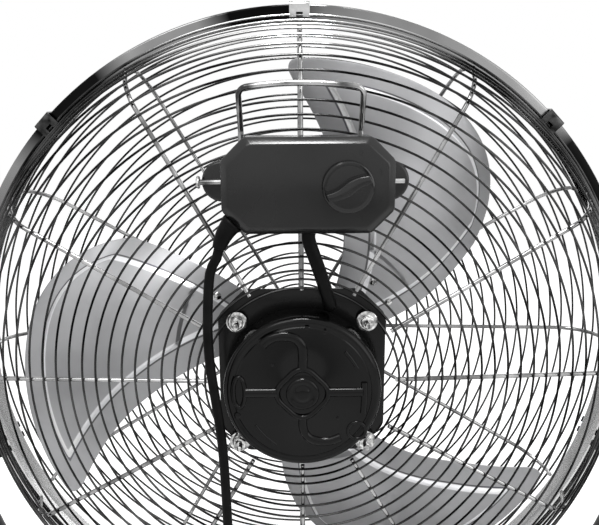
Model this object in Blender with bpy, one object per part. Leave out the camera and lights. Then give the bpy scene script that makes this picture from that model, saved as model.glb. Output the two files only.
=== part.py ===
"""Floor fan with a chromed wire cage on a tubular yoke. Metres, +Z up, the floor at Z = 0.

The air leaves towards -Y, and the motor and the switch box face +Y. The head is built around the point
where its tilt axis, along X, meets its spin axis, along Y. Angles around the spin axis are in degrees,
counted anticlockwise by someone who stands behind the fan, from their right.
"""

import math

import bmesh
import bpy
from mathutils import Vector

# Clearances
gap = 0.0003
running_gap = 0.0004
thread_gap = 0.0004

# Rim hoop, a rolled channel that opens inwards
hoop_radius = 0.280
hoop_depth = 0.026
hoop_sheet = 0.0012
hoop_flange = 0.011

# Wire guards
ring_wire = 0.0022
spoke_wire = 0.0038
spoke_count = 12
ring_steps = 2
rim_ring_inset = 0.008
rear_inner_radius = 0.074
rear_first_radius = 0.087
rear_ring_pitch = 0.0240
rear_face_rings = 7
rear_guard_depth = 0.062
rear_face_crown = 0.0085
front_inner_radius = 0.030
front_ring_pitch = 0.0406
front_face_rings = 5
front_guard_depth = 0.047
front_face_crown = 0.012
shoulder_rings = 3

# Clips that hold the guards to the hoop
clip_angles = (90, 44, 136, 198, 342, 270)
clip_width = 0.0155
clip_sheet = 0.0012
clip_lip = 0.0105
spoke_notch_gap = 0.0006

# Disc in the middle of the front guard
badge_radius = 0.033
badge_thickness = 0.0025

# Motor
motor_plate_half_width = 0.0629
motor_plate_half_height = 0.0653
motor_plate_rise = 0.0073
motor_plate_corner = 0.020
motor_plate_thickness = 0.002
motor_plate_hole = 0.052
cap_radius = 0.0583
cap_height = 0.024
cap_sheet = 0.0018
cap_bevel = 0.004
cap_boss_radius = 0.0165
cap_boss_height = 0.003
cap_rib_width = 0.007
cap_rib_height = 0.0016
cap_rib_reach = 0.046
housing_radius = 0.058
housing_sheet = 0.002
core_clearance = 0.001
stator_length = 0.016
winding_overhang = 0.0045
rotor_radius = 0.029
air_gap = 0.0005
shaft_radius = 0.005
shaft_chamfer = 0.001
bearing_radius = 0.011
bearing_width = 0.008
bearing_seat_wall = 0.0025

# Studs and flange nuts that clamp the rear guard to the motor plate
stud_circle_radius = 0.0685
stud_radius = 0.0025
stud_length = 0.0165
nut_flange_radius = 0.008
nut_flange_height = 0.0016
nut_across_flats = 0.009
nut_height = 0.006

# Blades and their hub
blade_count = 3
blade_radius = 0.240
blade_root_radius = 0.048
blade_sheet = 0.0015
blade_pitch = 15.0
blade_toe_angle = 94.0
blade_lead_sweep = 35.0
blade_root_width = 46.8
blade_tip_width = 57.0
blade_lead_curve = 0.92
blade_toe_round = 0.016
blade_tail_drop = 0.065
blade_tail_power = 7.4
blade_middle_rise = 0.006
blade_camber = 0.018
blade_panel_rise = 0.002
blade_panel_out = (0.35, 0.85)
blade_panel_across = (0.12, 0.88)
hub_collar_radius = 0.013
hub_collar_length = 0.030
hub_disc_radius = 0.038
hub_sheet = 0.0025
hub_arm_width = 0.042
hub_arm_reach = 0.094
set_screw_radius = 0.002

# Switch box on the rear guard
box_width = 0.116
box_height = 0.0645
box_corner = 0.0155
box_shift = 0.00425
box_rise = 0.1536
box_base_depth = 0.013
box_cover_depth = 0.0145
box_wall = 0.002
box_bevel = 0.004
bracket_end_radius = 0.0145
bracket_shift = 0.003
bracket_length = 0.146
bracket_depth = 0.0095
bracket_pad_half = 0.033
guard_clearance = 0.0008
clamp_plate_thickness = 0.002
clamp_plate_height = 0.034
box_screw_spacing = 0.036
box_screw_radius = 0.0019
box_screw_head_radius = 0.004
box_screw_head_height = 0.0022

# Speed knob, its switch and the capacitor
knob_offset = 0.02625
knob_radius = 0.0173
knob_skirt_height = 0.005
knob_grip_height = 0.009
knob_grip_width = 0.009
knob_stem_radius = 0.003
knob_pointer_angle = 24.0
switch_side = 0.022
switch_depth = 0.014
switch_socket_depth = 0.007
capacitor_size = (0.036, 0.014, 0.022)

# Carrying handle, a bent rod
handle_rod = 0.004
handle_half_width = 0.0414
handle_rise = 0.0635
handle_arch = 0.003
handle_corner = 0.008
handle_upright = 0.036
handle_lean = 0.016
handle_foot_overhang = 0.0005
handle_foot_inset = 0.0039
handle_end_radius = 0.005
handle_end_length = 0.0025

# Leads
lead_diameter = 0.0096
lead_box_offset = 0.005
lead_motor_offset = 0.020
lead_motor_rise = 0.0622
cord_diameter = 0.007
gland_length = 0.021
gland_start_angle = 45.0
gland_bend = 30.0
gland_base_radius = 0.0078
gland_tip_radius = 0.0046
coil_centre = (-0.045, 0.112)
coil_radius = 0.04825
coil_turns = 5.0
coil_start_angle = 90.0
coil_gap = 0.0006
points_per_turn = 24
tie_angle = 45.0
tie_width = 0.008
tie_sheet = 0.001
tie_clearance = 0.0011
plug_tail = 0.024
plug_width = 0.026
plug_length = 0.036
plug_neck_radius = 0.0055
plug_neck_length = 0.011
plug_neck_flare = 0.0008
plug_shoulder = 0.0055
prong_spacing = 0.0127
prong_width = 0.0063
prong_thickness = 0.0015
prong_length = 0.017
ground_pin_radius = 0.0024
ground_pin_offset = 0.0119
cord_route = (
    (0.0637, 0.1077, 0.4496),
    (0.0662, 0.1083, 0.4141),
    (0.0655, 0.1087, 0.3850),
    (0.0622, 0.1090, 0.3560),
    (0.0592, 0.1093, 0.3291),
    (0.0576, 0.1096, 0.2991),
    (0.0566, 0.1105, 0.2600),
    (0.0562, 0.1120, 0.2200),
    (0.0564, 0.1145, 0.1700),
    (0.0575, 0.1195, 0.1200),
    (0.0590, 0.1290, 0.0700),
    (0.0570, 0.1410, 0.0340),
    (0.0460, 0.1530, 0.0115),
    (0.0230, 0.1595, 0.0054),
)

# Stand
stand_tube = 0.022
stand_wall = 0.0015
yoke_side_gap = 0.009
yoke_bottom_gap = 0.030
yoke_straight = 0.096
yoke_top_reach = 0.020
runner_offset = 0.170
runner_length = 0.352
foot_length = 0.032
foot_bottom = 0.0035
foot_end_wall = 0.004
pivot_bolt_radius = 0.004
pivot_flange_radius = 0.014
pivot_flange_thickness = 0.0075
tilt_knob_radius = 0.019
tilt_knob_lobe = 0.0018
tilt_knob_lobes = 6
tilt_knob_depth = 0.016
tilt_knob_bore_depth = 0.011

# Roundness
round_large = 48
round_medium = 24
round_small = 14
round_tiny = 12

# Places that follow from the sizes
tube_radius = stand_tube / 2
runner_height = foot_bottom + gap + tube_radius
yoke_bottom_height = runner_height + stand_tube + gap
yoke_corner_radius = hoop_radius + yoke_bottom_gap + tube_radius - yoke_straight
yoke_half_width = hoop_radius + yoke_side_gap + tube_radius
head_height = yoke_bottom_height + yoke_corner_radius + yoke_straight

hoop_face = hoop_depth / 2
rim_ring_radius = hoop_radius - rim_ring_inset
rear_rim_y = hoop_face + gap + ring_wire / 2
rear_inner_y = rear_rim_y + rear_guard_depth
front_rim_y = -rear_rim_y
front_inner_y = front_rim_y - front_guard_depth
plate_back = rear_inner_y - ring_wire / 2 - 3 * gap
plate_front = plate_back - motor_plate_thickness
cap_base = plate_back + gap
cap_face = cap_base + cap_height
seat_depth = bearing_width + gap
housing_back = plate_front - gap
stator_end = housing_back - core_clearance - winding_overhang
stator_start = stator_end - stator_length
housing_front = stator_start - core_clearance - seat_depth - housing_sheet


def rear_face_y(radius):
    """Middle of the rear guard's wires at this radius, on its nearly flat face."""
    last = rear_first_radius + rear_ring_pitch * (rear_face_rings - 1)
    share = (radius - rear_inner_radius) / (last - rear_inner_radius)
    return rear_inner_y - rear_face_crown * share


bracket_front = rear_face_y(box_rise - bracket_end_radius) + ring_wire / 2 + guard_clearance
bracket_back = bracket_front + bracket_depth
handle_y = bracket_back + gap + handle_rod / 2
handle_foot_left = bracket_length / 2 - bracket_shift + handle_foot_overhang
handle_foot_right = bracket_length / 2 + bracket_shift - handle_foot_inset
box_back = handle_y + handle_rod / 2 + gap
box_seam = box_back + box_base_depth
box_face = box_seam + gap + box_cover_depth

bpy.context.view_layer.update()
for old in list(bpy.data.objects):
    bpy.data.objects.remove(old)


# Materials


def make_material(name, colour, roughness, metallic):
    material = bpy.data.materials.new(name)
    material.use_nodes = True
    shader = material.node_tree.nodes["Principled BSDF"]
    shader.inputs["Base Color"].default_value = (*colour, 1.0)
    shader.inputs["Roughness"].default_value = roughness
    shader.inputs["Metallic"].default_value = metallic
    return material


chrome = make_material("chrome_wire", (0.62, 0.62, 0.62), 0.18, 1.0)
hoop_steel = make_material("chrome_hoop", (0.52, 0.52, 0.52), 0.22, 1.0)
zinc = make_material("zinc_fastener", (0.60, 0.60, 0.60), 0.32, 1.0)
blade_metal = make_material("blade_aluminium", (0.42, 0.42, 0.42), 0.42, 1.0)
black_paint = make_material("black_paint", (0.012, 0.012, 0.012), 0.38, 0.0)
black_plastic = make_material("black_plastic", (0.016, 0.016, 0.016), 0.32, 0.0)
black_rubber = make_material("black_rubber", (0.014, 0.014, 0.014), 0.7, 0.0)
steel = make_material("bright_steel", (0.50, 0.50, 0.50), 0.3, 1.0)
core_steel = make_material("core_steel", (0.20, 0.20, 0.21), 0.5, 1.0)
grey_plastic = make_material("grey_plastic", (0.10, 0.10, 0.11), 0.45, 0.0)


# Assemblies


def make_frame(name, place, parent=None):
    frame = bpy.data.objects.new(name, None)
    frame.location = place
    frame.parent = parent
    bpy.context.collection.objects.link(frame)
    return frame


head = make_frame("head_frame", (0, 0, head_height))
spinner = make_frame("spin_frame", (0, 0, 0), head)


# Shapes


def behind(radius, angle, y):
    """Point at an angle seen from behind the fan, around the spin axis."""
    turn = math.radians(angle)
    return Vector((-radius * math.cos(turn), y, radius * math.sin(turn)))


def circle(radius, y, steps, centre=(0, 0)):
    """Loop of points around a line along Y."""
    points = []
    for step in range(steps):
        turn = 2 * math.pi * step / steps
        points.append(Vector((centre[0] + radius * math.cos(turn), y, centre[1] + radius * math.sin(turn))))
    return points


def octagon(half_width, half_height, corner, y, centre=(0, 0)):
    """Loop of a rectangle with its corners cut off, in a plane across Y."""
    corners = (
        (half_width - corner, -half_height),
        (half_width, corner - half_height),
        (half_width, half_height - corner),
        (half_width - corner, half_height),
        (corner - half_width, half_height),
        (-half_width, half_height - corner),
        (-half_width, corner - half_height),
        (corner - half_width, -half_height),
    )
    return [Vector((centre[0] + x, y, centre[1] + z)) for x, z in corners]


def rectangle(half_width, half_height, y, centre=(0, 0)):
    """Loop of a rectangle in a plane across Y."""
    corners = ((1, -1), (1, 1), (-1, 1), (-1, -1))
    return [Vector((centre[0] + half_width * x, y, centre[1] + half_height * z)) for x, z in corners]


def inner_corner(corner, wall):
    """Corner cut of the loop that lies one wall inside an octagon."""
    return corner - wall * (2 - math.sqrt(2))


def add_object(name, mesh, material, parent, place):
    thing = bpy.data.objects.new(name, mesh)
    thing.data.materials.append(material)
    thing.parent = parent
    thing.location = place
    bpy.context.collection.objects.link(thing)
    return thing


def loft(name, loops, material, parent=head, place=(0, 0, 0), closed=False, smooth=False):
    """Solid through loops of equal length, capped at its ends or, if closed, joined end to end."""
    model = bmesh.new()
    rows = [[model.verts.new(point) for point in loop] for loop in loops]
    pairs = list(zip(rows, rows[1:]))
    if closed:
        pairs.append((rows[-1], rows[0]))
    else:
        model.faces.new(rows[0])
        model.faces.new(rows[-1])
    for near, far in pairs:
        for index in range(len(near)):
            after = (index + 1) % len(near)
            model.faces.new((near[index], near[after], far[after], far[index]))
    bmesh.ops.recalc_face_normals(model, faces=model.faces)
    mesh = bpy.data.meshes.new(name)
    model.to_mesh(mesh)
    model.free()
    if smooth:
        mesh.shade_smooth()
        mesh.set_sharp_from_angle(angle=math.radians(35))
    return add_object(name, mesh, material, parent, place)


def turn_profile(name, profile, material, steps, parent=head, place=(0, 0, 0), closed=False):
    """Round piece from (radius, y) points, about a line along Y."""
    loops = [circle(radius, y, steps) for radius, y in profile]
    return loft(name, loops, material, parent, place, closed, smooth=True)


def bore_cutter(name, start, end, radius, parent=head, steps=round_small):
    """Round cutter between two points."""
    start = Vector(start)
    along = Vector(end) - start
    turn = along.to_track_quat("Y", "Z").to_matrix()
    loops = []
    for share in (0.0, 1.0):
        loops.append([start + turn @ point for point in circle(radius, along.length * share, steps)])
    return hide_tool(loft(name, loops, steel, parent))


def hide_tool(tool):
    tool.hide_render = True
    tool.display_type = "WIRE"
    return tool


def combine(target, tool, operation):
    modifier = target.modifiers.new(tool.name, "BOOLEAN")
    modifier.operation = operation
    modifier.object = tool
    hide_tool(tool)


def turned_about(thing, angle):
    """Turns a piece made at the top of the head to its angle seen from behind."""
    thing.rotation_euler = (0, math.radians(angle - 90), 0)
    return thing


def cornered_path(points, radius, steps=5):
    """Points with each inner corner rounded to an arc."""
    path = [Vector(points[0])]
    for before, corner, after in zip(points, points[1:], points[2:]):
        corner = Vector(corner)
        back = (Vector(before) - corner).normalized()
        on = (Vector(after) - corner).normalized()
        half = back.angle(on) / 2
        reach = radius / math.tan(half)
        middle = corner + (back + on).normalized() * radius / math.sin(half)
        start = corner + back * reach - middle
        finish = corner + on * reach - middle
        sweep = start.angle(finish)
        for step in range(steps + 1):
            share = step / steps
            arm = start * math.sin((1 - share) * sweep) + finish * math.sin(share * sweep)
            path.append(middle + arm / math.sin(sweep))
    path.append(Vector(points[-1]))
    return path


def smooth_path(points, spacing):
    """Points at an even spacing on one smooth curve through the given ones."""
    knots = [Vector(point) for point in points]
    knots = [2 * knots[0] - knots[1]] + knots + [2 * knots[-1] - knots[-2]]
    fine = []
    for a, b, c, d in zip(knots, knots[1:], knots[2:], knots[3:]):
        for step in range(20):
            t = step / 20
            fine.append(
                0.5 * (2 * b + (c - a) * t + (2 * a - 5 * b + 4 * c - d) * t**2 + (3 * b - a - 3 * c + d) * t**3)
            )
    fine.append(knots[-2])
    lengths = [0.0]
    for near, far in zip(fine, fine[1:]):
        lengths.append(lengths[-1] + (far - near).length)
    count = max(2, round(lengths[-1] / spacing))
    path = []
    index = 0
    for step in range(count + 1):
        wanted = lengths[-1] * step / count
        while index < len(fine) - 2 and lengths[index + 1] < wanted:
            index += 1
        share = (wanted - lengths[index]) / (lengths[index + 1] - lengths[index])
        path.append(fine[index].lerp(fine[index + 1], share))
    return path


def path_length(points):
    return sum((far - near).length for near, far in zip(points, points[1:]))


def wire(name, points, diameter, material, parent=None, sides=2):
    """Solid round rod or cord along points."""
    curve = bpy.data.curves.new(name, "CURVE")
    curve.dimensions = "3D"
    spline = curve.splines.new("POLY")
    spline.points.add(len(points) - 1)
    for target, point in zip(spline.points, points):
        target.co = (*point, 1.0)
    curve.bevel_depth = diameter / 2
    curve.bevel_resolution = sides
    curve.use_fill_caps = True
    return add_object(name, curve, material, parent, (0, 0, 0))


def hollow_tube(name, points, radius, wall, material, parent=None, steps=round_tiny):
    """Open-ended tube along points that lie in one plane across Y, or along Y itself."""
    outer = []
    inner = []
    for index, point in enumerate(points):
        before = points[max(index - 1, 0)]
        after = points[min(index + 1, len(points) - 1)]
        along = (after - before).normalized()
        side = Vector((1, 0, 0)) if abs(along.y) > 0.5 else Vector((0, 1, 0))
        up = along.cross(side)
        for loops, size in ((outer, radius), (inner, radius - wall)):
            loop = []
            for step in range(steps):
                turn = 2 * math.pi * step / steps
                loop.append(point + size * (math.cos(turn) * side + math.sin(turn) * up))
            loops.append(loop)
    return loft(name, outer + inner[::-1], material, parent, closed=True, smooth=True)


# Rim hoop and its clips

hoop_profile = (
    (hoop_radius, -hoop_face),
    (hoop_radius, hoop_face),
    (hoop_radius - hoop_flange, hoop_face),
    (hoop_radius - hoop_flange, hoop_face - hoop_sheet),
    (hoop_radius - hoop_sheet, hoop_face - hoop_sheet),
    (hoop_radius - hoop_sheet, hoop_sheet - hoop_face),
    (hoop_radius - hoop_flange, hoop_sheet - hoop_face),
    (hoop_radius - hoop_flange, -hoop_face),
)
turn_profile("rim_hoop", hoop_profile, hoop_steel, round_large, closed=True)


def make_clip(name, angle):
    """Spring steel clip that hooks over the hoop and both rim rings."""
    inner = hoop_radius + gap + clip_width**2 / (8 * hoop_radius)
    outer = inner + clip_sheet
    lip_y = rear_rim_y + ring_wire / 2 + 2 * gap
    end_y = lip_y + clip_sheet
    lip_end = inner - clip_lip
    section = (
        (outer, -end_y),
        (outer, end_y),
        (lip_end, end_y),
        (lip_end, lip_y),
        (inner, lip_y),
        (inner, -lip_y),
        (lip_end, -lip_y),
        (lip_end, -end_y),
    )
    loops = [[Vector((x, y, radius)) for radius, y in section] for x in (-clip_width / 2, clip_width / 2)]
    clip = loft(name, loops, zinc)
    notch_half = spoke_wire / 2 + spoke_notch_gap
    notch_end = rim_ring_radius + ring_wire / 2 + gap
    notch = loft(
        f"{name}_notch",
        [
            rectangle(notch_half, (notch_end - lip_end) / 2 + clip_sheet, y, (0, (notch_end + lip_end) / 2 - clip_sheet))
            for y in (-2 * end_y, 2 * end_y)
        ],
        zinc,
    )
    combine(clip, turned_about(notch, angle), "DIFFERENCE")
    return turned_about(clip, angle)


for number, angle in enumerate(clip_angles, 1):
    make_clip(f"guard_clip_{number}", angle)


# Wire guards, each one welded piece


def guard_stations(inner, face_radii, inner_y, crown, rim_y):
    """(radius, y) of each ring from the middle of a guard out over its shoulder to the rim."""
    outward = math.copysign(1, inner_y - rim_y)
    last = face_radii[-1]
    stations = [(inner, inner_y)]
    for radius in face_radii:
        share = (radius - inner) / (last - inner)
        stations.append((radius, inner_y - outward * crown * share))
    width = rim_ring_radius - last
    height = stations[-1][1] - rim_y
    for step in range(1, shoulder_rings + 1):
        turn = math.pi / 2 * step / shoulder_rings
        stations.append((last + width * math.sin(turn), rim_y + height * math.cos(turn)))
    return stations


def make_guard(name, stations):
    """Net of flat strips, rings crossed by spokes, given the wire's thickness."""
    lines = []
    for index, (radius, y) in enumerate(stations):
        before = stations[max(index - 1, 0)]
        after = stations[min(index + 1, len(stations) - 1)]
        along = Vector((after[0] - before[0], after[1] - before[1])).normalized() * ring_wire / 2
        lines.append((radius - along.x, y - along.y))
        lines.append((radius + along.x, y + along.y))
    model = bmesh.new()
    corners = {}

    def corner(line, spoke, step):
        """Point on a line of the net: steps 0 and 1 are a spoke's sides, later ones lie between spokes."""
        if step == ring_steps + 1:
            spoke, step = spoke + 1, 0
        key = (line, spoke % spoke_count, step)
        if key not in corners:
            radius, y = lines[line]
            pitch = 2 * math.pi / spoke_count
            half = math.asin(spoke_wire / 2 / radius)
            turn = key[1] * pitch - half
            if step > 0:
                turn += 2 * half + (pitch - 2 * half) * (step - 1) / ring_steps
            corners[key] = model.verts.new((radius * math.cos(turn), y, radius * math.sin(turn)))
        return corners[key]

    for line in range(len(lines) - 1):
        on_ring = line % 2 == 0
        for spoke in range(spoke_count):
            for step in range(ring_steps + 1 if on_ring else 1):
                model.faces.new(
                    (
                        corner(line, spoke, step),
                        corner(line + 1, spoke, step),
                        corner(line + 1, spoke, step + 1),
                        corner(line, spoke, step + 1),
                    )
                )
    mesh = bpy.data.meshes.new(name)
    model.to_mesh(mesh)
    model.free()
    guard = add_object(name, mesh, chrome, head, (0, 0, 0))
    thickness = guard.modifiers.new("wire_thickness", "SOLIDIFY")
    thickness.thickness = ring_wire
    thickness.offset = 0
    return guard


rear_face = [rear_first_radius + rear_ring_pitch * index for index in range(rear_face_rings)]
front_face = [front_inner_radius + front_ring_pitch * (index + 1) for index in range(front_face_rings)]
make_guard("rear_guard", guard_stations(rear_inner_radius, rear_face, rear_inner_y, rear_face_crown, rear_rim_y))
make_guard("front_guard", guard_stations(front_inner_radius, front_face, front_inner_y, front_face_crown, front_rim_y))

badge_back = front_inner_y - ring_wire / 2 - gap
badge_profile = (
    (badge_radius, badge_back),
    (badge_radius, badge_back - badge_thickness / 2),
    (badge_radius - badge_thickness, badge_back - badge_thickness),
)
turn_profile("front_badge", badge_profile, black_plastic, round_medium)


# Motor plate, studs and flange nuts

plate = loft(
    "motor_plate",
    [
        octagon(motor_plate_half_width, motor_plate_half_height, motor_plate_corner, y, (0, motor_plate_rise))
        for y in (plate_front, plate_back)
    ],
    black_paint,
)
hole = bore_cutter(
    "plate_hole",
    (0, plate_front - motor_plate_thickness, 0),
    (0, plate_back + motor_plate_thickness, 0),
    motor_plate_hole,
    steps=round_medium,
)
combine(plate, hole, "DIFFERENCE")

nut_seat = rear_inner_y + ring_wire / 2 + gap
nut_bore = stud_radius + thread_gap


def make_nut(name, place):
    """Hexagon nut with a washer face, bored for its stud."""
    hexagon = nut_across_flats / math.sqrt(3)
    loops = (
        circle(nut_bore, nut_seat, round_tiny),
        circle(nut_flange_radius, nut_seat, round_tiny),
        circle(nut_flange_radius, nut_seat + nut_flange_height, round_tiny),
        hexagon_loop(hexagon, nut_seat + nut_flange_height),
        hexagon_loop(hexagon, nut_seat + nut_height),
        circle(nut_bore, nut_seat + nut_height, round_tiny),
    )
    return loft(name, loops, zinc, place=place, closed=True)


def hexagon_loop(radius, y):
    """Hexagon with a point at each corner and at the middle of each side."""
    points = []
    for step in range(round_tiny):
        reach = radius if step % 2 == 0 else radius * math.cos(math.pi / 6)
        turn = 2 * math.pi * step / round_tiny
        points.append(Vector((reach * math.cos(turn), y, reach * math.sin(turn))))
    return points


for number, angle in enumerate((135, 45, 225, 315), 1):
    spot = behind(stud_circle_radius, angle, 0)
    stud = (
        (stud_radius, plate_back + gap),
        (stud_radius, plate_back + gap + stud_length - stud_radius / 3),
        (stud_radius * 2 / 3, plate_back + gap + stud_length),
    )
    turn_profile(f"guard_stud_{number}", stud, zinc, round_tiny, place=spot)
    make_nut(f"flange_nut_{number}", spot)


# Motor shell, bearings, stator, rotor and shaft

seat_radius = bearing_radius + gap
seat_outer = seat_radius + bearing_seat_wall
shaft_hole = shaft_radius + running_gap
housing_inner = housing_radius - housing_sheet
housing_profile = (
    (housing_radius, housing_back),
    (housing_inner, housing_back),
    (housing_inner, housing_front + housing_sheet),
    (seat_outer, housing_front + housing_sheet),
    (seat_outer, housing_front + housing_sheet + seat_depth),
    (seat_radius, housing_front + housing_sheet + seat_depth),
    (seat_radius, housing_front + housing_sheet),
    (shaft_hole + gap, housing_front + housing_sheet),
    (shaft_hole + gap, housing_front),
    (housing_radius - cap_bevel, housing_front),
    (housing_radius, housing_front + cap_bevel),
)
turn_profile("motor_housing", housing_profile, black_paint, round_medium, closed=True)

cap_inner = cap_radius - cap_sheet
seat_mouth = cap_face - cap_sheet - seat_depth
cap_profile = (
    (seat_radius, cap_face - cap_sheet),
    (seat_radius, seat_mouth),
    (seat_outer, seat_mouth),
    (seat_outer, cap_face - cap_sheet),
    (cap_inner, cap_face - cap_sheet),
    (cap_inner, cap_base),
    (cap_radius, cap_base),
    (cap_radius, cap_face - cap_bevel),
    (cap_radius - cap_bevel, cap_face),
    (cap_boss_radius, cap_face),
    (cap_boss_radius - cap_boss_height / 2, cap_face + cap_boss_height),
)
rear_cap = turn_profile("motor_rear_cap", cap_profile, black_paint, round_medium)
for number, angle in enumerate((90, 180, 0, 270), 1):
    rib = loft(
        f"cap_rib_{number}",
        [
            rectangle(cap_rib_width / 2, (cap_rib_reach - cap_boss_radius) / 2 + cap_sheet, y, (0, middle))
            for y, middle in (
                (cap_face - cap_sheet / 2, (cap_rib_reach + cap_boss_radius) / 2),
                (cap_face + cap_rib_height, (cap_rib_reach + cap_boss_radius) / 2),
            )
        ],
        black_paint,
    )
    combine(rear_cap, turned_about(rib, angle), "UNION")

bearing_profile = (
    (bearing_radius, 0),
    (bearing_radius, bearing_width),
    (shaft_hole, bearing_width),
    (shaft_hole, 0),
)
front_bearing_y = housing_front + housing_sheet + gap
rear_bearing_y = cap_face - cap_sheet - gap - bearing_width
for name, y in (("front_bearing", front_bearing_y), ("rear_bearing", rear_bearing_y)):
    turn_profile(name, bearing_profile, steel, round_medium, place=(0, y, 0), closed=True)

stator_outer = housing_inner - gap
stator_bore = rotor_radius + air_gap
slot_depth = (stator_outer - stator_bore) / 4
stator_profile = (
    (stator_outer, stator_start),
    (stator_outer, stator_end),
    (stator_outer - slot_depth, stator_end),
    (stator_outer - slot_depth, stator_end + winding_overhang),
    (stator_bore + slot_depth, stator_end + winding_overhang),
    (stator_bore + slot_depth, stator_end),
    (stator_bore, stator_end),
    (stator_bore, stator_start),
    (stator_bore + slot_depth, stator_start),
    (stator_bore + slot_depth, stator_start - winding_overhang),
    (stator_outer - slot_depth, stator_start - winding_overhang),
    (stator_outer - slot_depth, stator_start),
)
turn_profile("stator", stator_profile, core_steel, round_medium, closed=True)

rotor_profile = (
    (rotor_radius, stator_start),
    (rotor_radius, stator_end),
    (shaft_radius + gap, stator_end),
    (shaft_radius + gap, stator_start),
)
turn_profile("rotor_core", rotor_profile, core_steel, round_medium, spinner, closed=True)

shaft_front = -hub_collar_length / 2 - shaft_radius
shaft_profile = (
    (shaft_radius - shaft_chamfer, shaft_front),
    (shaft_radius, shaft_front + shaft_chamfer),
    (shaft_radius, rear_bearing_y + bearing_width - gap),
)
turn_profile("motor_shaft", shaft_profile, steel, round_small, spinner)


# Hub and blades

pitch_slope = math.tan(math.radians(blade_pitch))
root_middle = -blade_lead_sweep - blade_root_width / 2
arm_drop = (blade_sheet / 2 + gap + hub_sheet) / math.cos(math.radians(blade_pitch))
collar_profile = (
    (hub_collar_radius, -hub_collar_length / 2),
    (hub_collar_radius, hub_collar_length / 2),
    (shaft_radius + gap, hub_collar_length / 2),
    (shaft_radius + gap, -hub_collar_length / 2),
)
hub = turn_profile("blade_hub", collar_profile, black_paint, round_small, spinner, closed=True)
disc_profile = (
    (hub_disc_radius, -arm_drop - hub_sheet / 2),
    (hub_disc_radius, -arm_drop + hub_sheet / 2),
    (hub_collar_radius - hub_sheet, -arm_drop + hub_sheet / 2),
    (hub_collar_radius - hub_sheet, -arm_drop - hub_sheet / 2),
)
combine(hub, turn_profile("hub_disc", disc_profile, steel, round_medium, spinner, closed=True), "UNION")


def make_hub_arm(name, angle):
    """Flat arm that leans with the blade's pitch, made upright and turned to its angle."""
    loops = []
    for radius in (hub_disc_radius - 4 * hub_sheet, hub_arm_reach):
        loop = []
        for side, lift in ((-1, -1), (1, -1), (1, 1), (-1, 1)):
            x = side * hub_arm_width / 2
            y = -arm_drop + lift * hub_sheet / 2 + pitch_slope * x
            loop.append(Vector((x, y, radius)))
        loops.append(loop)
    return turned_about(loft(name, loops, steel, spinner), angle)


def edge_angles(radius):
    """Angles of the leading and trailing edges from the blade's toe, at this radius."""
    share = (radius - blade_root_radius) / (blade_radius - blade_root_radius)
    lead = -blade_lead_sweep * (1 - max(share, 0.0) ** blade_lead_curve)
    trail = -(blade_lead_sweep + blade_root_width) * (1 - share) - blade_tip_width * share
    return lead, trail


def ease(value):
    value = min(max(value, 0.0), 1.0)
    return value * value * (3 - 2 * value)


def round_loss(distance, radius):
    """How much a corner's round takes off, at this distance from the corner."""
    inside = max(radius - distance, 0.0)
    return radius - math.sqrt(radius**2 - inside**2)


def blade_point(out, across, toe_angle):
    """Middle of the blade's sheet, out from root to tip and across from leading to trailing edge."""
    tip_chord = blade_radius * math.radians(blade_tip_width)
    tip = blade_radius - round_loss(across * tip_chord, blade_toe_round) - blade_tail_drop * across**blade_tail_power
    radius = blade_root_radius + (tip - blade_root_radius) * out
    lead, trail = edge_angles(radius)
    angle = lead + (trail - lead) * across
    from_root = radius * math.sin(math.radians(angle - root_middle))
    from_middle = radius * math.radians((lead - trail) * (0.5 - across))
    bow = blade_middle_rise - blade_camber * (1 - 2 * across) ** 2
    bend = ease((radius - hub_arm_reach) / hub_arm_reach)
    y = pitch_slope * from_root * (1 - bend) + (pitch_slope * from_middle + bow) * bend
    return behind(radius, toe_angle + angle, y)


out_steps = (0, 0.14, 0.28, 0.42, 0.58, 0.74, 0.88, 1)
across_steps = (0, 0.012, 0.035, 0.07, 0.2, 0.38, 0.55, 0.7, 0.82, 0.91, 0.97, 1)


def make_blade(name, toe_angle):
    """Sheet blade with its middle pressed out a little."""
    model = bmesh.new()
    sides = []
    for half in (blade_sheet / 2, -blade_sheet / 2):
        rows = []
        for out in out_steps:
            on_panel = blade_panel_out[0] < out < blade_panel_out[1]
            row = []
            for across in across_steps:
                point = blade_point(out, across, toe_angle)
                pressed = on_panel and blade_panel_across[0] < across < blade_panel_across[1]
                point.y += half + (blade_panel_rise if pressed else 0)
                row.append(model.verts.new(point))
            rows.append(row)
        sides.append(rows)
    last_i = len(out_steps) - 1
    last_j = len(across_steps) - 1
    for rows in sides:
        for i in range(last_i):
            for j in range(last_j):
                model.faces.new((rows[i][j], rows[i + 1][j], rows[i + 1][j + 1], rows[i][j + 1]))
    border = [(i, 0) for i in range(last_i)] + [(last_i, j) for j in range(last_j)]
    border += [(i, last_j) for i in range(last_i, 0, -1)] + [(0, j) for j in range(last_j, 0, -1)]
    for (i, j), (k, m) in zip(border, border[1:] + border[:1]):
        model.faces.new((sides[0][i][j], sides[0][k][m], sides[1][k][m], sides[1][i][j]))
    bmesh.ops.recalc_face_normals(model, faces=model.faces)
    mesh = bpy.data.meshes.new(name)
    model.to_mesh(mesh)
    model.free()
    mesh.shade_smooth()
    mesh.set_sharp_from_angle(angle=math.radians(40))
    return add_object(name, mesh, blade_metal, spinner, (0, 0, 0))


for index in range(blade_count):
    toe = blade_toe_angle + 360 / blade_count * index
    make_blade(f"blade_{index + 1}", toe)
    combine(hub, make_hub_arm(f"hub_arm_{index + 1}", toe + root_middle), "UNION")

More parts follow.
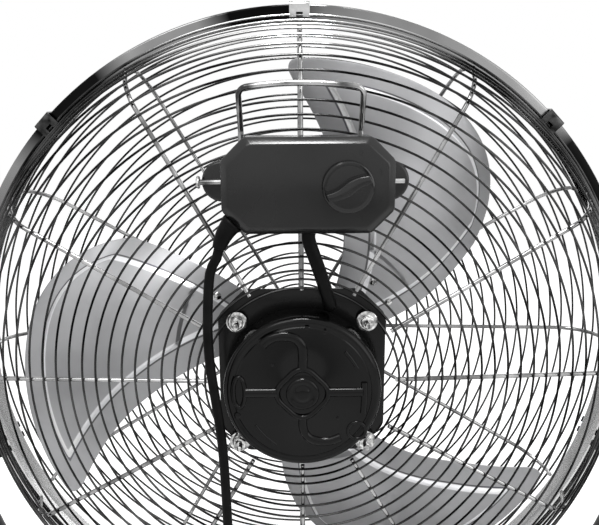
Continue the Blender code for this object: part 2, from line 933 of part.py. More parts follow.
screw_y = hub_collar_length / 4
screw_start = (0, screw_y, shaft_radius + 2 * gap)
screw_hole_end = (0, screw_y, hub_collar_radius + hub_sheet)
combine(
    hub,
    bore_cutter("set_screw_hole", (0, screw_y, shaft_radius / 2), screw_hole_end, set_screw_radius + gap, spinner),
    "DIFFERENCE",
)
screw_loops = [
    [Vector((point.x, screw_y + point.z, height)) for point in circle(set_screw_radius, 0, round_tiny)]
    for height in (screw_start[2], hub_collar_radius - gap)
]
loft("hub_set_screw", screw_loops, steel, spinner)


# Bracket, clamp plate and shell of the switch box

ring_below_box = rear_first_radius + rear_ring_pitch * int((box_rise - rear_first_radius) / rear_ring_pitch)
screw_rise = ring_below_box + rear_ring_pitch / 2
box_centre = (-box_shift, box_rise)
bracket_centre = (-bracket_shift, box_rise)
clamp_centre = (0, screw_rise)


def stadium(half_length, radius, y, centre, steps=8):
    """Loop of a bar with round ends, in a plane across Y."""
    points = []
    for side in (1, -1):
        for step in range(steps + 1):
            turn = -math.pi / 2 + math.pi * step / steps
            x = side * (half_length - radius + radius * math.cos(turn))
            points.append(Vector((centre[0] + x, y, centre[1] + side * radius * math.sin(turn))))
    return points


bracket = loft(
    "box_bracket",
    [stadium(bracket_length / 2, bracket_end_radius, y, bracket_centre) for y in (bracket_front, bracket_back)],
    black_plastic,
)
pad = loft(
    "bracket_pad",
    [
        rectangle(bracket_pad_half, bracket_end_radius * 0.8, y, box_centre)
        for y in (bracket_back - bracket_depth / 2, box_back - gap)
    ],
    black_plastic,
)
combine(bracket, pad, "UNION")
clamp_back = rear_face_y(screw_rise + rear_ring_pitch / 2) - ring_wire / 2 - guard_clearance
clamp_front = clamp_back - clamp_plate_thickness
clamp = loft(
    "box_clamp_plate",
    [
        rectangle(box_screw_spacing / 2 + clamp_plate_height / 4, clamp_plate_height / 2, y, clamp_centre)
        for y in (clamp_front, clamp_back)
    ],
    zinc,
)

half_width = box_width / 2
half_height = box_height / 2
inside_width = half_width - box_wall
inside_height = half_height - box_wall
inside_corner = inner_corner(box_corner, box_wall)
base = loft(
    "switch_box_base",
    (
        octagon(half_width, half_height, box_corner, box_back, box_centre),
        octagon(half_width, half_height, box_corner, box_seam, box_centre),
        octagon(inside_width, inside_height, inside_corner, box_seam, box_centre),
        octagon(inside_width, inside_height, inside_corner, box_back + box_wall, box_centre),
    ),
    black_plastic,
)
cover = loft(
    "switch_box_cover",
    (
        octagon(inside_width, inside_height, inside_corner, box_face - box_wall, box_centre),
        octagon(inside_width, inside_height, inside_corner, box_seam + gap, box_centre),
        octagon(half_width, half_height, box_corner, box_seam + gap, box_centre),
        octagon(half_width, half_height, box_corner, box_face - box_bevel, box_centre),
        octagon(
            half_width - box_bevel,
            half_height - box_bevel,
            inner_corner(box_corner, box_bevel),
            box_face,
            box_centre,
        ),
    ),
    black_plastic,
)
knob_centre = (-box_shift - knob_offset, box_rise)
stem_hole = bore_cutter(
    "stem_hole",
    (knob_centre[0], box_face - 2 * box_wall, box_rise),
    (knob_centre[0], box_face + box_wall, box_rise),
    knob_stem_radius + running_gap,
)
combine(cover, stem_hole, "DIFFERENCE")

screw_head_seat = box_back + box_wall + gap
for number, side in ((1, 1), (2, -1)):
    spot = (side * box_screw_spacing / 2, screw_rise)
    profile = (
        (box_screw_radius, clamp_front - gap),
        (box_screw_radius, screw_head_seat),
        (box_screw_head_radius, screw_head_seat),
        (box_screw_head_radius, screw_head_seat + box_screw_head_height),
    )
    turn_profile(f"box_screw_{number}", profile, zinc, round_tiny, place=(spot[0], 0, spot[1]))
    hole = bore_cutter(
        f"box_screw_hole_{number}",
        (spot[0], clamp_front - clamp_plate_thickness, spot[1]),
        (spot[0], box_back + 2 * box_wall, spot[1]),
        box_screw_radius + thread_gap,
    )
    for piece in (clamp, bracket, base):
        combine(piece, hole, "DIFFERENCE")


# Speed knob, rotary switch and capacitor

knob_seat = box_face + gap
switch_face = box_face - box_wall - gap
knob = turn_profile(
    "speed_knob",
    (
        (knob_stem_radius, switch_face - switch_socket_depth + gap),
        (knob_stem_radius, knob_seat),
        (knob_radius, knob_seat),
        (knob_radius, knob_seat + knob_skirt_height - box_wall / 2),
        (knob_radius - box_wall / 2, knob_seat + knob_skirt_height),
    ),
    black_plastic,
    round_medium,
    place=(knob_centre[0], 0, knob_centre[1]),
)
grip = loft(
    "knob_grip",
    [
        rectangle(knob_grip_width / 2 - inset, knob_radius - box_wall - inset, y)
        for y, inset in (
            (knob_seat + knob_skirt_height / 2, 0),
            (knob_seat + knob_skirt_height + knob_grip_height, knob_grip_width / 6),
        )
    ],
    black_plastic,
    place=(knob_centre[0], 0, knob_centre[1]),
)
turned_about(grip, knob_pointer_angle)
combine(knob, grip, "UNION")

switch = loft(
    "rotary_switch",
    [rectangle(switch_side / 2, switch_side / 2, y, knob_centre) for y in (switch_face - switch_depth, switch_face)],
    grey_plastic,
)
socket = bore_cutter(
    "switch_socket",
    (knob_centre[0], switch_face - switch_socket_depth, box_rise),
    (knob_centre[0], switch_face + switch_depth, box_rise),
    knob_stem_radius + running_gap,
)
combine(switch, socket, "DIFFERENCE")

capacitor_x = inside_width - box_corner / 2 - capacitor_size[0] / 2 - box_shift
capacitor_start = screw_head_seat + box_screw_head_height + gap
loft(
    "capacitor",
    [
        rectangle(capacitor_size[0] / 2, capacitor_size[2] / 2, y, (capacitor_x, box_rise))
        for y in (capacitor_start, capacitor_start + capacitor_size[1])
    ],
    grey_plastic,
)


# Carrying handle

upright_z = box_rise + handle_upright
top_z = box_rise + handle_rise
handle_corners = (
    (handle_foot_left, handle_y, box_rise),
    (handle_half_width, handle_y, box_rise),
    (handle_half_width, handle_y, upright_z),
    (handle_half_width, handle_y + handle_lean, top_z),
    (0, handle_y + handle_lean, top_z + handle_arch),
    (-handle_half_width, handle_y + handle_lean, top_z),
    (-handle_half_width, handle_y, upright_z),
    (-handle_half_width, handle_y, box_rise),
    (-handle_foot_right, handle_y, box_rise),
)
wire("carry_handle", cornered_path(handle_corners, handle_corner, 4), handle_rod, chrome, head, 1)
end_loops = [
    [Vector((x, handle_y + point.x, box_rise + point.z)) for point in circle(handle_end_radius, 0, round_tiny)]
    for x in (handle_foot_left + gap, handle_foot_left + gap + handle_end_length)
]
loft("handle_end_cap", end_loops, zinc)


# Cord gland on the box's lower corner, and the short lead to the motor

corner_middle = Vector((half_width - box_corner / 2 - box_shift, 0, box_rise - half_height + box_corner / 2))
gland_y = box_seam + gap + box_cover_depth / 2 - box_bevel / 2
gland_base = Vector((corner_middle.x, gland_y, corner_middle.z))


def gland_heading(share):
    """Direction of the gland's middle line, at a share of its length from the box."""
    angle = math.radians(gland_start_angle + gland_bend * share)
    return Vector((math.cos(angle), 0, -math.sin(angle)))


def gland_middle(share):
    """Point of the gland's middle line, which is an arc."""
    start = gland_heading(0)
    here = gland_heading(share)
    bend_radius = gland_length / math.radians(gland_bend)
    return gland_base + start * gap + bend_radius * Vector((start.z - here.z, 0, here.x - start.x))


gland_loops = []
for share in (0, 0.3, 0.65, 1):
    radius = gland_base_radius + (gland_tip_radius - gland_base_radius) * share
    heading = gland_heading(share)
    across = Vector((-heading.z, 0, heading.x))
    loop = []
    for step in range(round_small):
        turn = 2 * math.pi * step / round_small
        offset = math.cos(turn) * across + math.sin(turn) * Vector((0, 1, 0))
        loop.append(gland_middle(share) + radius * offset)
    gland_loops.append(loop)
loft("cord_gland", gland_loops, black_rubber, smooth=True)

lead_top = box_rise - half_height - gap
lead_y = box_seam
lead_end_y = plate_back + gap
lead_start = Vector((-lead_box_offset, lead_y, lead_top))
lead_end = Vector((-lead_motor_offset, lead_end_y, lead_motor_rise))
lead_middle_x = -(lead_box_offset + lead_motor_offset) / 2
lead_route = (
    lead_start - Vector((0, 0, lead_diameter / 2)),
    lead_start - Vector((0, 0, lead_diameter)),
    Vector((lead_middle_x, lead_y - lead_diameter / 4, (lead_top + lead_motor_rise) / 2)),
    lead_end + Vector((0, 1.5 * lead_diameter, lead_diameter * 0.4)),
    lead_end + Vector((0, 0.6 * lead_diameter, 0)),
)
lead_path = [lead_start, *smooth_path(lead_route, lead_diameter * 0.7), lead_end]
wire("motor_lead", lead_path, lead_diameter, black_rubber, head)


# Mains cord: its free stretch, then the rest wound into a tied coil that ends in a plug

cord_radius = cord_diameter / 2
coil_low = gap + tie_sheet + tie_clearance + cord_radius
coil_high = coil_low + cord_diameter + coil_gap
loop_pitch = cord_diameter + coil_gap


def coil_at(turns):
    """Point on the coil's middle line after this many turns."""
    radius = coil_radius - loop_pitch * min(turns, coil_turns - turns)
    layer = ease((turns - coil_turns / 2 + 0.25) / 0.5)
    angle = math.radians(coil_start_angle) + 2 * math.pi * turns
    return Vector(
        (
            coil_centre[0] + radius * math.cos(angle),
            coil_centre[1] + radius * math.sin(angle),
            coil_low + (coil_high - coil_low) * layer,
        )
    )


def coil_heading(turns):
    """Level direction square to the coil's radius."""
    angle = math.radians(coil_start_angle) + 2 * math.pi * turns
    return Vector((-math.sin(angle), math.cos(angle), 0))


coil_steps = round(coil_turns * points_per_turn)
coil_loops = [coil_at(coil_turns * step / coil_steps) for step in range(coil_steps + 1)]
coil_start = coil_loops[0] - coil_heading(0) * cord_diameter
coil_end = coil_loops[-1] + coil_heading(coil_turns) * plug_tail
coil_path = [coil_start] + coil_loops + [coil_end]
wire("cord_coil", coil_path, cord_diameter, black_rubber, None, 1)

least = math.inf
for index, point in enumerate(coil_path):
    for other in coil_path[index + points_per_turn // 2 :]:
        least = min(least, (other - point).length)
print(f"least gap between the coil's turns: {1000 * (least - cord_diameter):.2f} mm")

gland_exit = Vector((0, 0, head_height)) + gland_middle(1) + gland_heading(1) * gap
leave = gland_exit + gland_heading(1) * cord_diameter
arrive = coil_start - coil_heading(0) * (gap + 1.5 * cord_diameter)
stretch_end = coil_start - coil_heading(0) * gap
stretch = [gland_exit, *smooth_path((leave, *cord_route, arrive), 2.2 * cord_diameter), stretch_end]
wire("mains_cord", stretch, cord_diameter, black_rubber)
print(f"cord: {path_length(stretch):.3f} m free and {path_length(coil_path):.3f} m coiled")

tie_turn = (tie_angle - coil_start_angle) / 360 % 1
passes = [tie_turn + lap for lap in range(int(coil_turns - tie_turn) + 1)]
pass_radii = [coil_radius - loop_pitch * min(turns, coil_turns - turns) for turns in passes]
tie_in = min(pass_radii) - cord_radius - tie_clearance
tie_out = max(pass_radii) + cord_radius + tie_clearance
tie_low = coil_low - cord_radius - tie_clearance
tie_high = coil_high + cord_radius + tie_clearance
tie_section = (
    ((tie_in, tie_low), (tie_out, tie_low), (tie_out, tie_high), (tie_in, tie_high)),
    (
        (tie_in - tie_sheet, tie_low - tie_sheet),
        (tie_out + tie_sheet, tie_low - tie_sheet),
        (tie_out + tie_sheet, tie_high + tie_sheet),
        (tie_in - tie_sheet, tie_high + tie_sheet),
    ),
)
tie_loops = []
for section, side in ((0, -1), (1, -1), (1, 1), (0, 1)):
    loop = []
    for radius, height in tie_section[section]:
        loop.append(Vector((radius, side * tie_width / 2, height)))
    tie_loops.append(loop)
tie = loft("coil_tie", tie_loops, black_rubber, None, (*coil_centre, 0), closed=True)
tie.rotation_euler = (0, 0, math.radians(tie_angle))

plug_heading = coil_heading(coil_turns)
plug_side = plug_heading.cross(Vector((0, 0, 1)))
plug_start = coil_end + plug_heading * gap


def plug_loop(distance, half_wide, half_high, corner):
    """Loop of the plug across its cord's direction."""
    loop = []
    for point in octagon(half_wide, half_high, corner, 0):
        loop.append(plug_start + plug_heading * distance + plug_side * point.x + Vector((0, 0, point.z)))
    return loop


neck = plug_neck_radius
neck_corner = neck * (2 - math.sqrt(2))
plug_half_height = coil_high - gap
plug_corner = plug_width / 6
plug = loft(
    "plug",
    (
        plug_loop(0, neck, neck, neck_corner),
        plug_loop(plug_neck_length, neck + plug_neck_flare, neck + plug_neck_flare, neck_corner),
        plug_loop(plug_neck_length + plug_shoulder, plug_width / 2, plug_half_height, plug_corner),
        plug_loop(plug_length, plug_width / 2, plug_half_height, plug_corner),
    ),
    black_rubber,
    None,
)


def add_plug_pin(name, section):
    """Contact through the plug's face, from (across, up) corners of its section."""
    loops = []
    for distance in (plug_length - prong_width, plug_length + prong_length):
        middle = plug_start + plug_heading * distance
        loops.append([middle + plug_side * across + Vector((0, 0, up)) for across, up in section])
    combine(plug, loft(name, loops, steel, None), "UNION")


blade_line = -ground_pin_offset / 3
for number, side in ((1, 1), (2, -1)):
    middle = side * prong_spacing / 2
    section = [
        (middle + across * prong_thickness / 2, blade_line + up * prong_width / 2)
        for across, up in ((-1, -1), (1, -1), (1, 1), (-1, 1))
    ]
    add_plug_pin(f"plug_blade_{number}", section)
pin_line = blade_line + ground_pin_offset
add_plug_pin("ground_pin", [(point.x, pin_line + point.z) for point in circle(ground_pin_radius, 0, 8)])


# Yoke, pivots and tilt knobs

yoke_top = head_height + yoke_top_reach
yoke_bottom = yoke_bottom_height
yoke_corners = (
    (-yoke_half_width, 0, yoke_top),
    (-yoke_half_width, 0, yoke_bottom),
    (yoke_half_width, 0, yoke_bottom),
    (yoke_half_width, 0, yoke_top),
)
yoke_path = cornered_path(yoke_corners, yoke_corner_radius, 9)
yoke = hollow_tube("yoke_tube", yoke_path, tube_radius, stand_wall, black_paint)
axle_reach = yoke_half_width + stand_tube
axle_hole = bore_cutter(
    "axle_hole",
    (-axle_reach, 0, head_height),
    (axle_reach, 0, head_height),
    pivot_bolt_radius + running_gap,
    None,
)
combine(yoke, axle_hole, "DIFFERENCE")

flange_start = hoop_radius + gap
flange_end = flange_start + pivot_flange_thickness
knob_start = yoke_half_width + tube_radius + 2 * gap
bolt_end = knob_start + tilt_knob_bore_depth - gap


def across_x(loop, side):
    """Loop made across Y, laid across X on the left or the right."""
    return [Vector((side * point.y, side * point.x, point.z)) for point in loop]


lobe_steps = 4 * tilt_knob_lobes


def lobed(radius, lobe, y):
    """Loop of a knob's rim with a wave for each finger grip."""
    points = []
    for step in range(lobe_steps):
        turn = 2 * math.pi * step / lobe_steps
        reach = radius + lobe * math.cos(tilt_knob_lobes * turn)
        points.append(Vector((reach * math.cos(turn), y, reach * math.sin(turn))))
    return points


for name, side in (("left", 1), ("right", -1)):
    bolt = (
        (pivot_flange_radius, flange_start),
        (pivot_flange_radius, flange_end),
        (pivot_bolt_radius, flange_end),
        (pivot_bolt_radius, bolt_end),
    )
    loops = [across_x(circle(radius, y, round_small), side) for radius, y in bolt]
    loft(f"pivot_bolt_{name}", loops, zinc, smooth=True)
    bore = pivot_bolt_radius + thread_gap
    knob_end = knob_start + tilt_knob_depth
    bore_end = knob_start + tilt_knob_bore_depth
    loops = [
        across_x(circle(bore, bore_end, lobe_steps), side),
        across_x(circle(bore, knob_start, lobe_steps), side),
        across_x(lobed(tilt_knob_radius - 2 * tilt_knob_lobe, 0, knob_start), side),
        across_x(lobed(tilt_knob_radius, tilt_knob_lobe, knob_start + tilt_knob_depth / 4), side),
        across_x(lobed(tilt_knob_radius, tilt_knob_lobe, knob_end - tilt_knob_depth / 8), side),
        across_x(lobed(tilt_knob_radius - tilt_knob_lobe, tilt_knob_lobe, knob_end), side),
    ]
    loft(f"tilt_knob_{name}", loops, black_plastic, smooth=True)


# Floor runners, cross bar and rubber feet

bar_end = runner_offset - tube_radius - gap
bar_path = [Vector((x, 0, runner_height)) for x in (-bar_end, bar_end)]
hollow_tube("cross_bar", bar_path, tube_radius, stand_wall, black_paint)
runner_half = runner_length / 2
for name, side in (("left", 1), ("right", -1)):
    runner_path = [Vector((side * runner_offset, y, runner_height)) for y in (-runner_half, runner_half)]
    hollow_tube(f"runner_{name}", runner_path, tube_radius, stand_wall, black_paint)
    for end, sign in (("front", -1), ("back", 1)):
        centre = (side * runner_offset, runner_height)
        bore = tube_radius + gap
        outer_end = sign * (runner_half + gap + foot_end_wall)
        inner_end = outer_end - sign * foot_length
        bore_end = sign * (runner_half + gap)
        half = runner_height
        block = [octagon(half, half, half / 2, y, centre) for y in (inner_end, outer_end)]
        foot = loft(f"foot_{end}_{name}", block, black_rubber, None)
        socket = bore_cutter(
            f"foot_bore_{end}_{name}",
            (centre[0], inner_end - sign * foot_length, runner_height),
            (centre[0], bore_end, runner_height),
            bore,
            None,
            round_tiny,
        )
        combine(foot, socket, "DIFFERENCE")
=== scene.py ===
from math import atan, atan2, cos, exp, hypot, pi, radians, sin, sqrt, tan

import bpy
from mathutils import Matrix, Vector


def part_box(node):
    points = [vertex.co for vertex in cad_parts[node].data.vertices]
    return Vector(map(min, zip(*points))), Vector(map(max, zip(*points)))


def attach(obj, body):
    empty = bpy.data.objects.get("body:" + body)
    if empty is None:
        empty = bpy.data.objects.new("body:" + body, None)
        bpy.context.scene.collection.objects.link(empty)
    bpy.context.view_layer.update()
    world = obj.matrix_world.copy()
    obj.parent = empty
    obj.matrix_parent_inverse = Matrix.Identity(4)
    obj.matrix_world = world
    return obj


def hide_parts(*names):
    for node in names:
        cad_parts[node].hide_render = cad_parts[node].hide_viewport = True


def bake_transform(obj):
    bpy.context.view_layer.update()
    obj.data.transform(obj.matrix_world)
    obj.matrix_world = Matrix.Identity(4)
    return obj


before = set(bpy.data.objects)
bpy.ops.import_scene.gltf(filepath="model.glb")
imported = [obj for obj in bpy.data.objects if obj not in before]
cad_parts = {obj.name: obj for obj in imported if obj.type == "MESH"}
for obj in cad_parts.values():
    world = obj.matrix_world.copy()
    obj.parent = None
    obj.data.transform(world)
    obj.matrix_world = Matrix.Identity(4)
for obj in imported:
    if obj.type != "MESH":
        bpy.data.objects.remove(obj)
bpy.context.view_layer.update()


# Rim hoop: one strip of 1.2 mm steel, rolled into a channel that opens inwards, welded and chromed.
# Both guards lie on its flanges, and the head's pivot bolts are fixed at its sides.
axis_height = 0.3581
hoop_radius = 0.280
hoop_width = 0.026
hoop_flange = 0.011
hoop_sheet = 0.0012
hoop_sides = 192
head_middle = (0, 0, axis_height)
upright = (pi / 2, 0, 0)


def only(piece):
    """Makes the piece the one that is selected and active, outside edit mode."""
    if bpy.context.mode != "OBJECT":
        bpy.ops.object.mode_set(mode="OBJECT")
    bpy.ops.object.select_all(action="DESELECT")
    piece.select_set(True)
    bpy.context.view_layer.objects.active = piece


def set_down(piece):
    """Moves the piece's place, turn and scale from its object into its mesh."""
    only(piece)
    bpy.ops.object.transform_apply(location=True, rotation=True, scale=True)
    return piece


def pick(piece, kind, wanted=lambda place, direction: True):
    """Opens the piece for editing, with those parts selected whose place and direction pass the test."""
    only(piece)
    mesh = piece.data
    for parts in (mesh.vertices, mesh.edges, mesh.polygons):
        parts.foreach_set("select", [False] * len(parts))
    if kind == "VERT":
        for corner in mesh.vertices:
            corner.select = wanted(corner.co, corner.normal)
    elif kind == "EDGE":
        for edge in mesh.edges:
            first, last = (mesh.vertices[index].co for index in edge.vertices)
            edge.select = wanted((first + last) / 2, (last - first).normalized())
    else:
        for face in mesh.polygons:
            face.select = wanted(face.center, face.normal)
    bpy.context.tool_settings.mesh_select_mode = (kind == "VERT", kind == "EDGE", kind == "FACE")
    bpy.ops.object.mode_set(mode="EDIT")


def modify(piece, kind, **settings):
    """Adds a modifier with these settings and applies it."""
    only(piece)
    modifier = piece.modifiers.new(kind.lower(), kind)
    for setting, value in settings.items():
        setattr(modifier, setting, value)
    bpy.ops.object.modifier_apply(modifier=modifier.name)


def outward():
    """Turns all faces of the piece that is open for editing outwards, and closes it."""
    bpy.ops.mesh.select_all(action="SELECT")
    bpy.ops.mesh.normals_make_consistent(inside=False)
    bpy.ops.object.mode_set(mode="OBJECT")


def begin(add, **settings):
    """Begins a piece from one of Blender's basic shapes."""
    bpy.ops.object.select_all(action="DESELECT")
    add(**settings)
    return bpy.context.object


def wire(tree, kind, inputs, **settings):
    """Adds a shader node, and gives its inputs values or the outputs of other nodes."""
    node = tree.nodes.new(f"ShaderNode{kind}")
    for setting, value in settings.items():
        setattr(node, setting, value)
    for name, value in inputs.items():
        if isinstance(value, bpy.types.NodeSocket):
            tree.links.new(value, node.inputs[name])
        else:
            node.inputs[name].default_value = value
    return node


def graded(tree, value, first, last, low=0.0, high=1.0):
    """Number that goes from low to high as the value goes from first to last."""
    limits = {"Value": value, "From Min": first, "From Max": last, "To Min": low, "To Max": high}
    return wire(tree, "MapRange", limits).outputs["Result"]


def toned(tree, value, *stops):
    """Colour that follows the value over stops, each a position with a grey level or a colour."""
    ramp = wire(tree, "ValToRGB", {"Fac": value})
    elements = ramp.color_ramp.elements
    elements[0].position, elements[1].position = stops[0][0], stops[-1][0]
    inner = [elements.new(position) for position, tone in stops[1:-1]]
    for element, (position, tone) in zip([elements[0], *inner, elements[-1]], stops):
        element.color = (*tone, 1.0) if isinstance(tone, tuple) else (tone, tone, tone, 1.0)
    return ramp.outputs["Color"]


def mixed(tree, factor, one, other, blend="MIX"):
    """Colour mixed from two."""
    inputs = {"Factor": factor, "A": one, "B": other}
    return wire(tree, "Mix", inputs, data_type="RGBA", blend_type=blend).outputs["Result"]


def surface(
    name, dark, light, rough, metallic=0.0, cloud=25.0, grain=1400.0, depth=0.00001, stretch=(1, 1, 1),
    shine=0.5,
):
    """Material whose colour and gloss drift between two values, over a fine grain in the surface."""
    material = bpy.data.materials.new(name)
    material.use_nodes = True
    tree = material.node_tree
    place = wire(tree, "TexCoord", {}).outputs["Object"]
    turn = wire(tree, "Mapping", {"Vector": place, "Scale": stretch}).outputs["Vector"]
    drift = wire(tree, "TexNoise", {"Vector": turn, "Scale": cloud, "Detail": 5.0}).outputs["Fac"]
    fine = wire(tree, "TexNoise", {"Vector": turn, "Scale": grain, "Detail": 3.0}).outputs["Fac"]
    bump = wire(tree, "Bump", {"Height": fine, "Strength": 0.6, "Distance": depth}).outputs["Normal"]
    shader = tree.nodes["Principled BSDF"]
    shader.inputs["Metallic"].default_value = metallic
    shader.inputs["Specular IOR Level"].default_value = shine
    tree.links.new(toned(tree, drift, (0.35, dark), (0.65, light)), shader.inputs["Base Color"])
    tree.links.new(graded(tree, drift, 0.3, 0.7, *rough), shader.inputs["Roughness"])
    tree.links.new(bump, shader.inputs["Normal"])
    return material


def fit(piece, name, material, body, slot, *nodes, smooth=30):
    """Finishes a piece: name, shading, material, the body it rides on and the CAD nodes it stands for."""
    set_down(piece)
    bpy.ops.object.shade_smooth_by_angle(angle=radians(smooth))
    piece.name = name
    piece.data.name = name
    piece.data.materials.clear()
    piece.data.materials.append(material)
    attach(piece, body)
    if nodes:
        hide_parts(*nodes)
    return piece


hoop_chrome = surface("hoop_chrome", 0.10, 0.40, (0.12, 0.26), 1.0, 4.0, 500.0)
tree = hoop_chrome.node_tree
place = tree.nodes["Texture Coordinate"].outputs["Object"]
painted_dark_reflection = tree.nodes["Color Ramp"].outputs["Color"]
# Painted dark reflection: the upper part of the rear flange keeps a dark grey chrome with three near-black
# spots multiplied into it, and the rest of the hoop, lower down and further forward, is a plain lighter
# chrome.
painted_dark_spots = (((0.030, 0.012, 0.637), 0.05), ((0.185, 0.012, 0.567), 0.065), ((-0.235, 0.012, 0.510), 0.06))
for spot, reach in painted_dark_spots:
    away = wire(tree, "VectorMath", {0: place, 1: spot}, operation="DISTANCE").outputs["Value"]
    painted_dark_reflection = mixed(tree, 1.0, painted_dark_reflection, graded(tree, away, reach * 0.5, reach, 0.02), "MULTIPLY")
parts = wire(tree, "SeparateXYZ", {"Vector": place}).outputs
low_half = graded(tree, parts["Z"], 0.46, 0.34)
inside = graded(tree, parts["Y"], 0.0118, 0.0106)
either = wire(tree, "Math", {0: low_half, 1: inside}, operation="MAXIMUM").outputs["Value"]
chrome_with_painted_dark = mixed(tree, either, painted_dark_reflection, (0.78, 0.78, 0.78, 1.0))
tree.links.new(chrome_with_painted_dark, tree.nodes["Principled BSDF"].inputs["Base Color"])
hoop = begin(
    bpy.ops.mesh.primitive_cylinder_add,
    vertices=hoop_sides,
    radius=hoop_radius,
    depth=hoop_width,
    end_fill_type="NOTHING",
    location=head_middle,
    rotation=upright,
)
set_down(hoop)
hoop_edge = hoop_width / 2 - 0.001
pick(hoop, "EDGE", lambda middle, along: abs(middle.y) > hoop_edge)
bpy.ops.mesh.extrude_edges_move()
flange_scale = (hoop_radius - hoop_flange) / hoop_radius
bpy.ops.transform.resize(value=(flange_scale, 1, flange_scale), center_override=head_middle)
corner_ring = hoop_radius * cos(pi / hoop_sides)
pick(
    hoop,
    "EDGE",
    lambda middle, along: abs(middle.y) > hoop_edge
    and hypot(middle.x, middle.z - axis_height) > corner_ring - 0.001
    and abs(middle.x * along.x + (middle.z - axis_height) * along.z) < 0.001,
)
bpy.ops.mesh.bevel(offset=0.0016, segments=3, affect="EDGES")
outward()
modify(hoop, "SOLIDIFY", thickness=hoop_sheet, offset=-1)
fit(hoop, "rim_hoop_rolled", hoop_chrome, "head", "chrome_hoop", "rim_hoop")


# Rear and front guards: steel rings welded to the outside of twelve heavier spokes, then chromed.
# The rear guard is bolted to the motor, the front one to the disc in its middle.
ring_wire = 0.0018
spoke_wire = 0.0035
spoke_sink = 0.0024
ring_pitch = 0.0102
# The rings' chrome is painted nearly black as painted dark reflection, and a lighter grey near the head's top
# as painted highlight; the spokes keep plain bright chrome.
ring_chrome_painted_reflections = surface("ring_chrome_painted_reflections", 0.008, 0.09, (0.08, 0.18), 1.0, 22.0, 700.0)
spoke_chrome = surface("spoke_chrome", 0.16, 0.60, (0.08, 0.16), 1.0, 30.0, 700.0)
tree = ring_chrome_painted_reflections.node_tree
parts = wire(tree, "SeparateXYZ", {"Vector": tree.nodes["Texture Coordinate"].outputs["Object"]}).outputs
painted_highlight_mask = graded(tree, parts["Z"], 0.595, 0.622)
rings_with_painted_highlight = mixed(tree, painted_highlight_mask, tree.nodes["Color Ramp"].outputs["Color"], (0.62, 0.62, 0.62, 1.0))
tree.links.new(rings_with_painted_highlight, tree.nodes["Principled BSDF"].inputs["Base Color"])


def rod(points, diameter, sides=12, caps=True):
    """Round rod or tube along the points, as a mesh."""
    curve = bpy.data.curves.new("rod", "CURVE")
    curve.dimensions = "3D"
    curve.bevel_depth = diameter / 2
    curve.bevel_resolution = (sides - 4) // 2
    curve.use_fill_caps = caps
    line = curve.splines.new("POLY")
    line.points.add(len(points) - 1)
    for target, point in zip(line.points, points):
        target.co = (*point, 1.0)
    piece = bpy.data.objects.new("rod", curve)
    bpy.context.collection.objects.link(piece)
    only(piece)
    bpy.ops.object.convert(target="MESH")
    piece = bpy.context.object
    pick(piece, "VERT")
    bpy.ops.mesh.remove_doubles(threshold=0.00001)
    outward()
    return piece


def join(pieces):
    """Joins pieces into the first one."""
    only(pieces[0])
    for piece in pieces:
        piece.select_set(True)
    bpy.ops.object.join()
    return pieces[0]


def turned_copy(piece, angle):
    """Copy of a piece made at the head's top, turned about the spin axis to an angle seen from behind."""
    only(piece)
    bpy.ops.object.duplicate()
    copy = bpy.context.object
    middle = Matrix.Translation(head_middle)
    copy.matrix_world = middle @ Matrix.Rotation(radians(angle - 90), 4, "Y") @ middle.inverted()
    return set_down(copy)


def rings(stations):
    """Rings of a guard, from their (radius, y)."""
    made = []
    for radius, y in stations:
        ring = begin(
            bpy.ops.mesh.primitive_torus_add,
            major_radius=radius,
            minor_radius=ring_wire / 2,
            major_segments=round(72 + 440 * radius),
            minor_segments=8,
            location=(0, y, axis_height),
            rotation=upright,
        )
        made.append(set_down(ring))
    return join(made)


def spokes(profile, starts):
    """Spokes through (radius, y) points at the top of the head, each from its own start outwards."""
    made = []
    for angle in range(0, 360, 30):
        inner = starts[0] if angle % 90 == 0 else starts[1]
        points = [(0, profile[0][1], axis_height + inner)]
        points += [(0, y, axis_height + radius) for radius, y in profile if radius > inner + 0.004]
        spoke = rod(points, spoke_wire)
        made.append(turned_copy(spoke, angle))
        bpy.data.objects.remove(spoke)
    return join(made)


rear_face = [0.074, 0.0805] + [0.087 + ring_pitch * step for step in range(16)]
rear_y = 0.0764
rear_stations = [(radius, rear_y - 0.0093 * (radius - 0.074) / 0.166) for radius in rear_face]
rear_shoulder = [(0.2480, 0.0610), (0.2548, 0.0534), (0.2598, 0.0445), (0.2635, 0.0350), (0.2670, 0.0253)]
rear_shoulder += [(0.2720, 0.0144)]
rear_rings = rings(rear_stations + rear_shoulder)
fit(rear_rings, "rear_guard_rings", ring_chrome_painted_reflections, "head", "chrome_wire", "rear_guard", smooth=60)
rear_line = [(0.0720, rear_y - spoke_sink)]
rear_line += [(radius, y - spoke_sink) for radius, y in rear_stations[1:-1]]
rear_line += [
    (0.2400, 0.0640), (0.2460, 0.0589), (0.2522, 0.0519), (0.2570, 0.0434), (0.2606, 0.0342),
    (0.2640, 0.0248), (0.2668, 0.0185), (0.2682, 0.0150),
]
rear_spokes = spokes(rear_line, (0.0716, 0.0775))
fit(rear_spokes, "rear_guard_spokes", spoke_chrome, "head", "chrome_wire", smooth=60)

